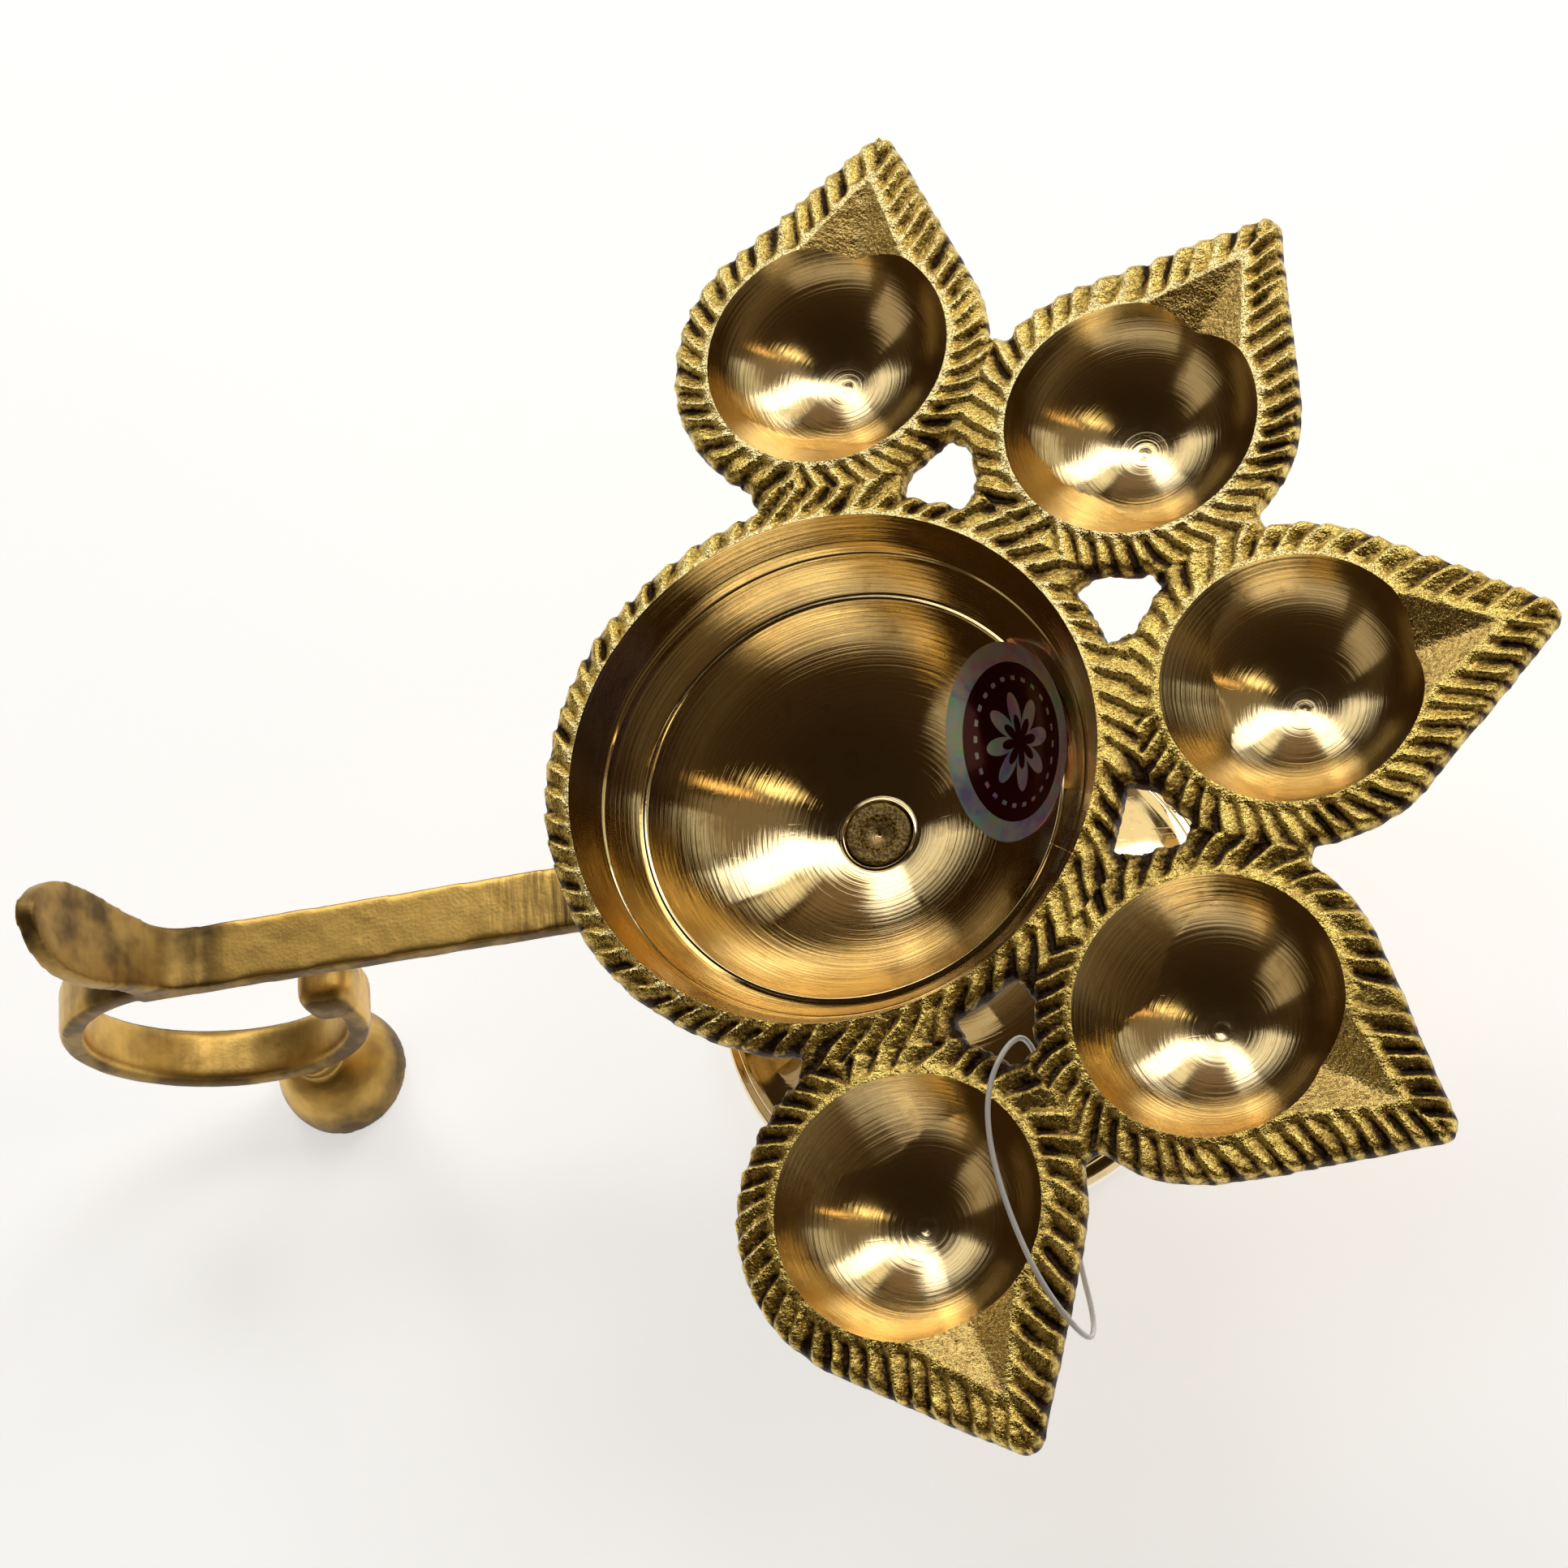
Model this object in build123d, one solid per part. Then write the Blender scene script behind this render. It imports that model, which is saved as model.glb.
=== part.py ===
from build123d import *
import math
import os

# Five-wick brass arati hand lamp. Millimetres, +Z up, origin on the table at the
# centre of the pedestal's base, +X towards the middle wick cup, handle along -X.

# Overall
rim_z = 70.6                # height of the flat top of the casting
hub_bore_r = 3.9            # hole through the bowl floor and the handle eye

# Central oil bowl
mouth_r = 30.0
border_r = 32.9             # outer edge of the cast border
step_a = (27.9, 27.2, 5.3)  # radius above, radius below, depth of the upper turned step
step_b = (24.7, 24.0, 9.7)
bowl_ball_r = 28.4          # spherical bottom and its centre above the rim
bowl_ball_up = 5.5
bowl_back_r = 32.0          # outside of the bowl
bowl_back_up = 6.5
floor_r = 6.5
border_t = 2.6
boss_r = 10.5
boss_depth = 25.2           # underside of the boss below the rim

# Wick cups
cup_ring_r = 51.2
cup_azimuths = (85.4, 42.6, 0.0, -42.6, -85.4)
spout_azimuths = (72.0, 49.0, 5.0, -37.0, -69.0)
cup_r = 14.25
cup_depth = 9.6
cup_wall = 2.2
leaf_r = 18.7               # border of a cup
leaf_tip = 27.1             # cup centre to the centre of the rounded tip
leaf_tip_r = 1.4
leaf_t = 3.2
web_half = 2.6              # half width of the web between two cups
web_r = (40.8, 54.0)
web_root_half_deg = 14.8
web_root_r = 46.0
spout_apex = 22.8           # cup centre to the point of the wick spout
spout_back = 8.0
spout_half_w = 9.25
spout_deep = 3.5

# Pedestal
base_r = 33.1
spigot_top_depth = 22.0     # top of the spigot below the rim

# Handle
eye_t = 2.4
eye_r = 9.0
bar_w = 8.0
bar_end_x = -91.0
bar_rise = 2.9              # how far the bar climbs from the eye to its end
ring_x = -91.0
ring_z = 29.5
ring_r_in = 16.1
ring_r_out = 19.3
ring_w = 7.4
ring_round = 1.3            # rounding of the ring's edges
ring_open_deg = (10.0, 84.0)
knob_x = -74.8
knob_z = 31.8
knob_size = (7.0, 7.8, 7.4)
knob_round = 2.6
thumb_t = 2.5
thumb_front = ((-85.0, -22.3), (-90.6, -17.0), (-93.0, -8.0), (-94.4, 1.6))
thumb_outline = (           # y and height above the rim, from the near side over the top
    (-4.0, -22.3), (-5.0, -16.5), (-6.4, -8.5), (-5.1, -2.0), (-0.6, 1.6),
    (3.9, -2.0), (5.4, -8.5), (4.5, -16.5), (4.0, -22.3),
)

# Foot under the finger ring
foot_x = -85.5
foot_r = 8.45
foot_neck_r = 3.6

# Label and tag filament
label_az = 14.5
label_polar = 43.5
label_semi = (11.4, 10.8)   # along and up the wall
label_t = 0.15
filament_d = 0.6


def revolved(*edges):
    """Solid of revolution about Z from a closed loop of edges in the XZ plane."""
    return revolve(make_face(Curve() + list(edges)), Axis.Z, 360)


def sphere_z(radius, up, r):
    """Height of the lower half of a sphere, centred 'up' above the rim, at radius r."""
    return rim_z + up - math.sqrt(radius * radius - r * r)


def sphere_arc(radius, up, r_a, r_b):
    """Arc on the lower half of that sphere from radius r_a to radius r_b, in the XZ plane."""
    mid = math.sin((math.asin(r_a / radius) + math.asin(r_b / radius)) / 2) * radius
    ends = [(r, 0, sphere_z(radius, up, r)) for r in (r_a, mid, r_b)]
    return ThreePointArc(*ends)


def oil_bowl():
    """Central bowl: plain lip, two turned steps, spherical bottom, boss round the spigot."""
    inner = Polyline(
        (mouth_r, 0, rim_z),
        (step_a[0], 0, rim_z - step_a[2]),
        (step_a[1], 0, rim_z - step_a[2] - 0.2),
        (step_b[0], 0, rim_z - step_b[2]),
        (step_b[1], 0, sphere_z(bowl_ball_r, bowl_ball_up, step_b[1])),
    )
    bottom = sphere_arc(bowl_ball_r, bowl_ball_up, step_b[1], floor_r)
    floor_z = sphere_z(bowl_ball_r, bowl_ball_up, floor_r)
    back_top = math.sqrt(bowl_back_r**2 - (bowl_back_up + border_t) ** 2)
    middle = Polyline(
        (floor_r, 0, floor_z),
        (hub_bore_r, 0, floor_z),
        (hub_bore_r, 0, rim_z - boss_depth),
        (boss_r, 0, rim_z - boss_depth),
        (boss_r, 0, sphere_z(bowl_back_r, bowl_back_up, boss_r)),
    )
    back = sphere_arc(bowl_back_r, bowl_back_up, boss_r, back_top)
    border = Polyline(
        (back_top, 0, rim_z - border_t),
        (border_r, 0, rim_z - border_t),
        (border_r, 0, rim_z),
        (mouth_r, 0, rim_z),
    )
    return revolved(inner, bottom, middle, back, border)


def wedge(az_from, az_to, reach=120.0):
    """Flat face covering the azimuths from az_from to az_to."""
    steps = 4
    angles = [math.radians(az_from + (az_to - az_from) * k / steps) for k in range(steps + 1)]
    corners = [(0, 0)] + [(reach * math.cos(a), reach * math.sin(a)) for a in angles]
    return make_face(Polyline(*corners, close=True))


def leaf_outline(centre, spout_az):
    """Round cup border drawn out to a pointed leaf tip."""
    tip = centre + Vector(leaf_tip, 0, 0).rotate(Axis.Z, spout_az)
    disc = Pos(centre) * Circle(leaf_r)
    point = Pos(tip) * Circle(leaf_tip_r)
    return make_face(make_hull(disc.edges() + point.edges()))


def web_bar(az):
    """Strip of web along the line between two neighbouring cups."""
    length = web_r[1] - web_r[0]
    middle = (web_r[1] + web_r[0]) / 2
    return Rot(0, 0, az) * Pos(middle, 0, 0) * Rectangle(length, 2 * web_half)


def root_web(az):
    """Web that joins a cup to the bowl's border."""
    root = Circle(web_root_r) - Circle(border_r)
    return root & wedge(az - web_root_half_deg, az + web_root_half_deg)


def cup_plate(k):
    """Flat plate of cup k, cut along the lines halfway to its neighbours."""
    az = cup_azimuths[k]
    centre = Vector(cup_ring_r, 0, 0).rotate(Axis.Z, az)
    face = leaf_outline(centre, spout_azimuths[k]) + root_web(az)
    limits = [az + 70, az - 70]
    if k > 0:
        limits[0] = (az + cup_azimuths[k - 1]) / 2
        face += web_bar(limits[0])
    if k < len(cup_azimuths) - 1:
        limits[1] = (az + cup_azimuths[k + 1]) / 2
        face += web_bar(limits[1])
    face = (face & wedge(limits[1], limits[0])) - Circle(border_r)
    return extrude(Pos(0, 0, rim_z - leaf_t) * face, leaf_t)


def spout_tool():
    """V-shaped groove that climbs from the cup wall to the leaf tip, at the origin."""
    up = 1.0
    grow = 1 + up / spout_deep
    apex = spout_apex + (spout_apex - spout_back) * up / spout_deep
    half = spout_half_w * grow
    corners = [(spout_back, -half, up), (spout_back, half, up), (spout_back, 0, -spout_deep)]
    triangle = Polyline(*corners, close=True)
    return loft([make_face(triangle), Vertex(apex, 0, up)])


def wick_cup(k):
    """One spherical wick cup with its leaf-shaped border and wick spout."""
    ball_r = (cup_r**2 + cup_depth**2) / (2 * cup_depth)
    up = ball_r - cup_depth
    back_r = ball_r + cup_wall
    joint_r = math.sqrt(back_r**2 - (up + 2.0) ** 2)
    shell = revolved(
        Line((0, 0, rim_z + up - back_r), (0, 0, rim_z - 2.0)),
        Line((0, 0, rim_z - 2.0), (joint_r, 0, rim_z - 2.0)),
        sphere_arc(back_r, up, joint_r, 0.0),
    )
    hollow = revolved(
        sphere_arc(ball_r, up, 0.0, cup_r),
        Polyline((cup_r, 0, rim_z), (cup_r, 0, rim_z + 1), (0, 0, rim_z + 1), (0, 0, rim_z - cup_depth)),
    )
    azimuth = cup_azimuths[k]
    centre = Vector(cup_ring_r, 0, 0).rotate(Axis.Z, azimuth)
    place = Pos(centre.X, centre.Y, 0)
    groove = place * Rot(0, 0, spout_azimuths[k]) * Pos(0, 0, rim_z) * spout_tool()
    return cup_plate(k) + place * shell - place * hollow - groove


def pedestal():
    """Flared hollow foot, baluster stem and the spigot that clamps handle and bowl."""
    clamp_z = rim_z - boss_depth - eye_t
    top_z = rim_z - spigot_top_depth
    outside = [
        Polyline((30.4, 0, 0), (base_r, 0, 0), (base_r, 0, 1.8), (31.6, 0, 3.2)),
        Spline(
            (31.6, 0, 3.2), (22.0, 0, 7.0), (12.5, 0, 13.5), (8.2, 0, 19.5),
            tangents=[(-1, 0, 0.25), (-0.3, 0, 1)],
        ),
        Polyline((8.2, 0, 19.5), (10.4, 0, 20.6), (10.4, 0, 22.4), (7.4, 0, 23.6)),
        ThreePointArc((7.4, 0, 23.6), (11.2, 0, 29.6), (6.4, 0, 35.4)),
        Polyline((6.4, 0, 35.4), (6.4, 0, 37.2), (10.2, 0, 40.4), (10.2, 0, clamp_z)),
        Polyline((10.2, 0, clamp_z), (hub_bore_r, 0, clamp_z), (hub_bore_r, 0, top_z - 0.5)),
        Polyline((hub_bore_r, 0, top_z - 0.5), (hub_bore_r - 0.5, 0, top_z), (2.1, 0, top_z)),
        Polyline((2.1, 0, top_z), (0.5, 0, top_z - 1.5), (0, 0, top_z - 1.5), (0, 0, 17.0)),
    ]
    inside = [
        Line((0, 0, 17.0), (4.5, 0, 17.0)),
        Spline(
            (4.5, 0, 17.0), (9.6, 0, 11.8), (20.8, 0, 4.4), (30.4, 0, 0),
            tangents=[(0.3, 0, -1), (1, 0, -0.3)],
        ),
    ]
    return revolved(*outside, *inside)


def side_slab(points, width):
    """Outline in the XZ plane, extruded evenly to both sides of y = 0."""
    face = make_face(Curve() + [Polyline(*[(x, 0, z) for x, z in points], close=True)])
    return extrude(face, width / 2, dir=(0, 1, 0), both=True)


def disc_y(x, z, radius, width):
    """Cylinder across the handle."""
    return Pos(x, 0, z) * Rot(90, 0, 0) * Cylinder(radius, width)


def finger_ring():
    """Open ring below the end of the bar, with a rounded knob on its free end."""
    band = disc_y(ring_x, ring_z, ring_r_out, ring_w) - disc_y(ring_x, ring_z, ring_r_in, ring_w + 2)
    band = fillet(band.edges().filter_by(GeomType.CIRCLE), ring_round)
    low, high = (math.radians(a) for a in ring_open_deg)
    far = 60.0
    gap = [(ring_x, ring_z)]
    gap += [(ring_x + far * math.cos(a), ring_z + far * math.sin(a)) for a in (low, (low + high) / 2, high)]
    band -= side_slab(gap, 3 * ring_w)
    return band + Pos(knob_x, 0, knob_z) * knob_solid()


def knob_solid():
    """Rounded block on the free end of the finger ring, centred on the origin."""
    block = Box(*knob_size)
    return fillet(block.edges(), knob_round)


def thumb_rest():
    """Upright paddle-shaped thumb rest, bent up from the end of the bar."""
    low_z = rim_z - boss_depth - eye_t + bar_rise
    edge = [(0, y, rim_z + z) for y, z in thumb_outline]
    side = Spline(*edge, tangents=[(0, -0.1, 1), (0, -0.1, -1)])
    foot = Polyline(edge[-1], (0, bar_w / 2, low_z), (0, -bar_w / 2, low_z), edge[0])
    slab = extrude(Pos(-110, 0, 0) * make_face(Curve() + [side, foot]), 30, dir=(1, 0, 0))
    points = [(x, 0, rim_z + z) for x, z in thumb_front]
    front = Spline(*points, tangents=[(-1, 0, 0), (-0.1, 0, 1)])
    back = Spline(*points[1:], tangents=[(-0.4, 0, 1), (-0.1, 0, 1)]).translate((-thumb_t, 0, 0))
    base = Polyline(back @ 0, ((back @ 0).X, 0, low_z), (points[0][0], 0, low_z), points[0])
    profile = make_face(Curve() + [front, Line(front @ 1, back @ 1), back, base])
    return slab & extrude(profile, 10, dir=(0, 1, 0), both=True)


def handle():
    """One casting: eye, flat bar, upright thumb rest and open finger ring."""
    top_z = rim_z - boss_depth
    low_z = top_z - eye_t
    eye = Pos(0, 0, low_z + eye_t / 2) * Cylinder(eye_r, eye_t)
    bar = side_slab(
        [(0, low_z), (-14, low_z), (bar_end_x, low_z + bar_rise),
         (bar_end_x, top_z + bar_rise), (-14, top_z), (0, top_z)],
        bar_w,
    )
    blank = eye + bar + finger_ring() + thumb_rest()
    return blank - Pos(0, 0, top_z) * Cylinder(hub_bore_r, 12)


def ring_foot():
    """Domed foot that carries the finger ring."""
    top = 12.5
    neck_z = 9.4
    blank = revolved(
        Polyline((0, 0, 0), (foot_r, 0, 0), (foot_r, 0, 1.0)),
        ThreePointArc((foot_r, 0, 1.0), (7.5, 0, 5.4), (4.6, 0, 8.8)),
        Polyline((4.6, 0, 8.8), (foot_neck_r, 0, neck_z), (foot_neck_r, 0, top), (0, 0, top), (0, 0, 0)),
    )
    return Pos(foot_x, 0, 0) * blank - disc_y(ring_x, ring_z, ring_r_out, 3 * ring_w)


def label():
    """Oval foil label on the bowl's spherical bottom."""
    centre = Pos(0, 0, rim_z + bowl_ball_up)
    skin = centre * Sphere(bowl_ball_r) - centre * Sphere(bowl_ball_r - label_t)
    aim = centre * Rot(0, 0, label_az) * Rot(0, 180 - label_polar, 0)
    cutter = aim * extrude(Ellipse(label_semi[1], label_semi[0]), 60)
    return skin & cutter


def filament_route():
    """Loop of the tag filament: up through the web's hole, over cup 5 and round its edge."""
    top = rim_z + 1.4
    low = rim_z - leaf_t - 3.4
    return [
        (19.4, -43.5, low), (18.9, -37.8, low), (18.2, -33.8, rim_z - 2.4), (16.6, -36.2, top + 0.4),
        (14.3, -40.6, top + 0.8), (13.9, -46.5, top + 1.0), (15.2, -54.2, top + 0.9),
        (17.8, -62.3, top + 0.6), (21.3, -67.9, rim_z - 1.6), (21.2, -64.3, low - 0.5),
        (20.3, -57.8, low - 0.3), (19.8, -51.2, low),
    ]


def corner_radius(a, b, c):
    """Largest smooth bend at b: 0.45 of the shorter run over the tangent of half the turn."""
    before, after = Vector(*b) - Vector(*a), Vector(*c) - Vector(*b)
    turn = math.radians(before.get_angle(after))
    return 0.45 * min(before.length, after.length) / math.tan(turn / 2)


def tag_filament():
    """Nylon loop of a price tag."""
    route = filament_route()
    radii = [corner_radius(*route[k - 1:k + 2]) for k in range(1, len(route) - 1)]
    print("filament radii", [round(r, 1) for r in radii])
    path = FilletPolyline(*route, radius=radii)
    print("filament length", round(path.length, 1))
    start = Plane(path @ 0, z_dir=path % 0)
    return sweep(start * Circle(filament_d / 2), path=path)


def tag_lock():
    """Small bead that locks the two ends of the filament."""
    route = filament_route()
    first, last = Vector(*route[0]), Vector(*route[-1])
    axis = first - last
    return extrude(Plane(last, z_dir=axis) * Circle(0.9), axis.length)


def build():
    os.makedirs("parts", exist_ok=True)
    nodes = {
        "oil_bowl": oil_bowl(),
        "pedestal": pedestal(),
        "handle": handle(),
        "ring_foot": ring_foot(),
        "oval_label": label(),
        "tag_filament": tag_filament(),
        "tag_lock": tag_lock(),
    }
    for k in range(len(cup_azimuths)):
        nodes[f"wick_cup_{k + 1}"] = wick_cup(k)
    for name, shape in nodes.items():
        export_step(shape, f"parts/{name}.step")


build()
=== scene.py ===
from itertools import product
from math import acos, asin, cos, hypot, pi, radians, sin, sqrt, tan

import bpy
import numpy as np
from mathutils import Matrix, Vector
from mathutils.geometry import delaunay_2d_cdt


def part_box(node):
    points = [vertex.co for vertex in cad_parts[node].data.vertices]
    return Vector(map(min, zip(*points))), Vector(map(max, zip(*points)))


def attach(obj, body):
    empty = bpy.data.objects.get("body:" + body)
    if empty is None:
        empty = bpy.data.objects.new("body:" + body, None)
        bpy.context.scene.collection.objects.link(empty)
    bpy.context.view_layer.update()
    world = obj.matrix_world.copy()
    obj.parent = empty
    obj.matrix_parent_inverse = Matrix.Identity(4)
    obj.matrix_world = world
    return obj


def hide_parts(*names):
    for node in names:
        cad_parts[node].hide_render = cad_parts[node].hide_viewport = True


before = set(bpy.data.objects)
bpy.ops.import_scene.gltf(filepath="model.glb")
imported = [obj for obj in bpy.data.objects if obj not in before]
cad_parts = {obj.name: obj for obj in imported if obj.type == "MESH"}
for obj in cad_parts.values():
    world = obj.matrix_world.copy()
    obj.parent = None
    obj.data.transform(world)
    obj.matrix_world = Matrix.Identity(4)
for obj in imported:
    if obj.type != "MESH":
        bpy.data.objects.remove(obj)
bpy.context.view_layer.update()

# Five-wick brass arati hand lamp. Shapes are worked out in millimetres, in the CAD's frame,
# and become metres when a mesh is made. Heights named z are above the table, and heights
# named rise or depth are measured from the flat top of the lamp casting.

MM = 0.001
RIM_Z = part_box("oil_bowl")[1].z / MM
BODY = "root"

# Lamp casting, as in the CAD except that the bowl's two steps are narrower here
MOUTH_R = 30.0
BORDER_R = 33.1
STEP_A = (27.7, 27.4, 5.3)          # radius above, radius below, depth
STEP_B = (24.5, 24.2, 9.7)
BALL_R, BALL_UP = 28.4, 5.5         # round bottom of the bowl
BACK_R, BACK_UP = 32.0, 6.5         # outside of the bowl
HUB_R = 3.95                        # hole for the spigot
BOSS_R, BOSS_DEPTH = 10.5, 25.2
PLATE_T = 3.2
CUP_RING_R = 51.2
CUP_AZ = (85.4, 42.6, 0.0, -42.6, -85.4)
SPOUT_AZ = (72.0, 49.0, 5.0, -37.0, -69.0)
CUP_R, CUP_DEPTH = 14.25, 9.6
CUP_WALL = 2.2
LEAF_R, LEAF_TIP, LEAF_TIP_R = 18.7, 26.7, 1.9
WEB_HALF, WEB_R = 2.6, (40.8, 54.0)
ROOT_HALF_DEG, ROOT_R = 14.8, 46.0
SPOUT_BACK, SPOUT_APEX, SPOUT_HALF, SPOUT_DEEP = 8.0, 22.8, 9.25, 3.5
SPOUT_LONG = SPOUT_APEX - SPOUT_BACK
SPOUT_HALF_DEG = 25.6               # half of the angle by which a cup's mouth opens into its spout
HUB_SEAM = -23.4                    # where the bowl's inside and its boss meet in the spigot's hole
LEAF_FILLET, BORDER_FILLET, WEB_FILLET = 0.5, 0.55, 0.6
EDGE_WIDE, EDGE_DROP = 1.3, 1.15    # rounding of the casting's top edge
CREST_DOWN = 0.12                   # ribs stay this far under the CAD's flat top
CUPS = range(len(CUP_AZ))
BACKS = (None, *CUPS)               # the bowl's round back, then the cups'
FAR = 99.0                          # a height or distance that never wins

CUP_BALL_R = (CUP_R**2 + CUP_DEPTH**2) / (2 * CUP_DEPTH)
CUP_BALL_UP = CUP_BALL_R - CUP_DEPTH
LEAF_SIN = (LEAF_R - LEAF_TIP_R) / LEAF_TIP     # lean of a leaf's straight sides
LEAF_COS = sqrt(1 - LEAF_SIN * LEAF_SIN)

# Cast ribs
RIB_DEEP = 0.84
RIB_RISE, RIB_PINCH = 0.27, 1.1     # share of a pitch that rises, and sharpness of the crests
BOWL_RIB_R, LEAF_RIB_R = 31.5, 16.5  # radii at which the pitches are measured
LEAF_PITCH = (2.75, 2.3)            # counterclockwise and clockwise side of each leaf
BOWL_PITCH = 2.95
LEAF_LEAN, BOWL_LEAN = tan(radians(31)), tan(radians(40))
LAND = 0.5                          # plain land round the mouth of a cup

# Mesh spacings, point counts and the plan box round the casting
TOP_STEP = 0.33
EDGE_STEP = 0.30
BACK_STEP = 1.2
CONTOUR_STEP = 0.4
BALL_STEP, RING_STEP = 0.62, 0.6
MOUTH_COUNT, CUP_COUNT, BOWL_COUNT, PEDESTAL_COUNT = 480, 150, 240, 224
WALL_R = 29.2                       # where the height field hands over to the turned bowl
PLAN_LOW, PLAN_HIGH = (-36.0, -79.0), (82.0, 80.0)

CAST, TURNED, FACET, BACK = range(4)    # finishes, in the order of the casting's materials


# ---- noise

def lattice(i, j, k, seed):
    """Repeatable random number from -1 to 1 at a whole-number point."""
    h = (i * 73856093) ^ (j * 19349663) ^ (k * 83492791) ^ (seed * 2654435761)
    h = h & 0xFFFFFFFF
    h = ((h ^ (h >> 15)) * 2246822519) & 0xFFFFFFFF
    h = ((h ^ (h >> 13)) * 3266489917) & 0xFFFFFFFF
    return ((h ^ (h >> 16)) & 0xFFFFFF) / 8388607.5 - 1.0


def noise(points, size, seed=0):
    """Smooth noise from -1 to 1 with features about as long as size."""
    points = np.atleast_2d(points) / size
    if points.shape[1] == 2:
        points = np.c_[points, np.zeros(len(points))]
    cell = np.floor(points).astype(np.int64)
    part = points - cell
    fade = part * part * part * (part * (part * 6 - 15) + 10)
    total = np.zeros(len(points))
    for corner in product((0, 1), repeat=3):
        value = lattice(*(cell + corner).T, seed)
        for weight, far in zip(fade.T, corner):
            value = value * (weight if far else 1 - weight)
        total += value
    return total


def smooth_min(a, b, width):
    h = np.clip(0.5 + 0.5 * (b - a) / width, 0, 1)
    return b + (a - b) * h - width * h * (1 - h)


def ramp(low, high, value):
    t = np.clip((value - low) / (high - low), 0, 1)
    return t * t * (3 - 2 * t)


def flat_r(points):
    """Distance from the axis, seen in plan."""
    return np.hypot(points[:, 0], points[:, 1])


def flat_angle(points):
    return np.arctan2(points[:, 1], points[:, 0])


def turned_by(points, degrees):
    """Plan points turned clockwise by an angle, so that this direction becomes +X."""
    a = radians(degrees)
    x, y = points.T
    return np.c_[x * cos(a) + y * sin(a), y * cos(a) - x * sin(a)]


def cup_centre(k):
    a = radians(CUP_AZ[k])
    return np.array([CUP_RING_R * cos(a), CUP_RING_R * sin(a)])


def in_cup(points, k):
    """Plan points in cup k's own frame, with its spout along +X."""
    return turned_by(points - cup_centre(k), SPOUT_AZ[k])


# ---- outline of the casting

def leaf_distance(local):
    """Distance outside a round leaf drawn out to a small round tip."""
    x, y = local[:, 0], np.abs(local[:, 1])
    along = LEAF_COS * x - LEAF_SIN * y
    disc = np.hypot(x, y) - LEAF_R
    tip = np.hypot(x - LEAF_TIP, y) - LEAF_TIP_R
    side = LEAF_SIN * x + LEAF_COS * y - LEAF_R
    return np.where(along < 0, disc, np.where(along > LEAF_COS * LEAF_TIP, tip, side))


def plain_outline(points):
    """Distance outside the casting's outline, before the roughness of the casting."""
    r = flat_r(points)
    azimuth = np.degrees(flat_angle(points))
    distance = r - BORDER_R
    middle, half = (WEB_R[0] + WEB_R[1]) / 2, (WEB_R[1] - WEB_R[0]) / 2
    for k, cup_az in enumerate(CUP_AZ):
        away = np.radians(np.clip(np.abs(azimuth - cup_az) - ROOT_HALF_DEG, -80, 80))
        root = np.maximum(r * np.sin(away), r - ROOT_R)
        leaf = smooth_min(leaf_distance(in_cup(points, k)), root, LEAF_FILLET)
        distance = smooth_min(distance, leaf, BORDER_FILLET)
        if k:
            local = turned_by(points, (cup_az + CUP_AZ[k - 1]) / 2)
            web = np.maximum(np.abs(local[:, 0] - middle) - half, np.abs(local[:, 1]) - WEB_HALF)
            distance = smooth_min(distance, web, WEB_FILLET)
    return distance


def outline(points):
    """Distance outside the rough cast outline: ribs stand out a little, holes are ragged."""
    r = flat_r(points)
    ragged = ramp(47, 41, r) * ramp(31, 35, r) * ramp(-30, -10, points[:, 0])
    rough = (0.07 + 0.13 * ragged) * noise(points, 1.5, 3)
    rough = rough + (0.05 + 0.13 * ragged) * noise(points, 0.6, 4)
    rough += 0.16 * noise(points, 9.0, 5)
    return plain_outline(points) + rough + 0.07 * ribs(points)[1]


def outward(points):
    """Unit direction in which the outline's distance grows."""
    d = 0.15
    gx = plain_outline(points + [d, 0]) - plain_outline(points - [d, 0])
    gy = plain_outline(points + [0, d]) - plain_outline(points - [0, d])
    size = np.maximum(np.hypot(gx, gy), 1e-9)
    return np.c_[gx / size, gy / size]


# ---- ribs and heights

def leaf_border(local):
    """Place along the leaf's border from its tip's side, and distance outside its mouth."""
    x, y = local[:, 0], np.abs(local[:, 1])
    toward_tip = LEAF_COS * x - LEAF_SIN * y
    angle = np.arctan2(y, x) - acos(LEAF_SIN)
    along = np.where(toward_tip > 0, -toward_tip, LEAF_RIB_R * angle)
    slope = hypot(1 / SPOUT_LONG, 1 / SPOUT_HALF)
    spout = ((x - SPOUT_BACK) / SPOUT_LONG + y / SPOUT_HALF - 1) / slope
    return along, np.minimum(np.hypot(x, y) - CUP_R, np.where(x > 5, spout, FAR))


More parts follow.
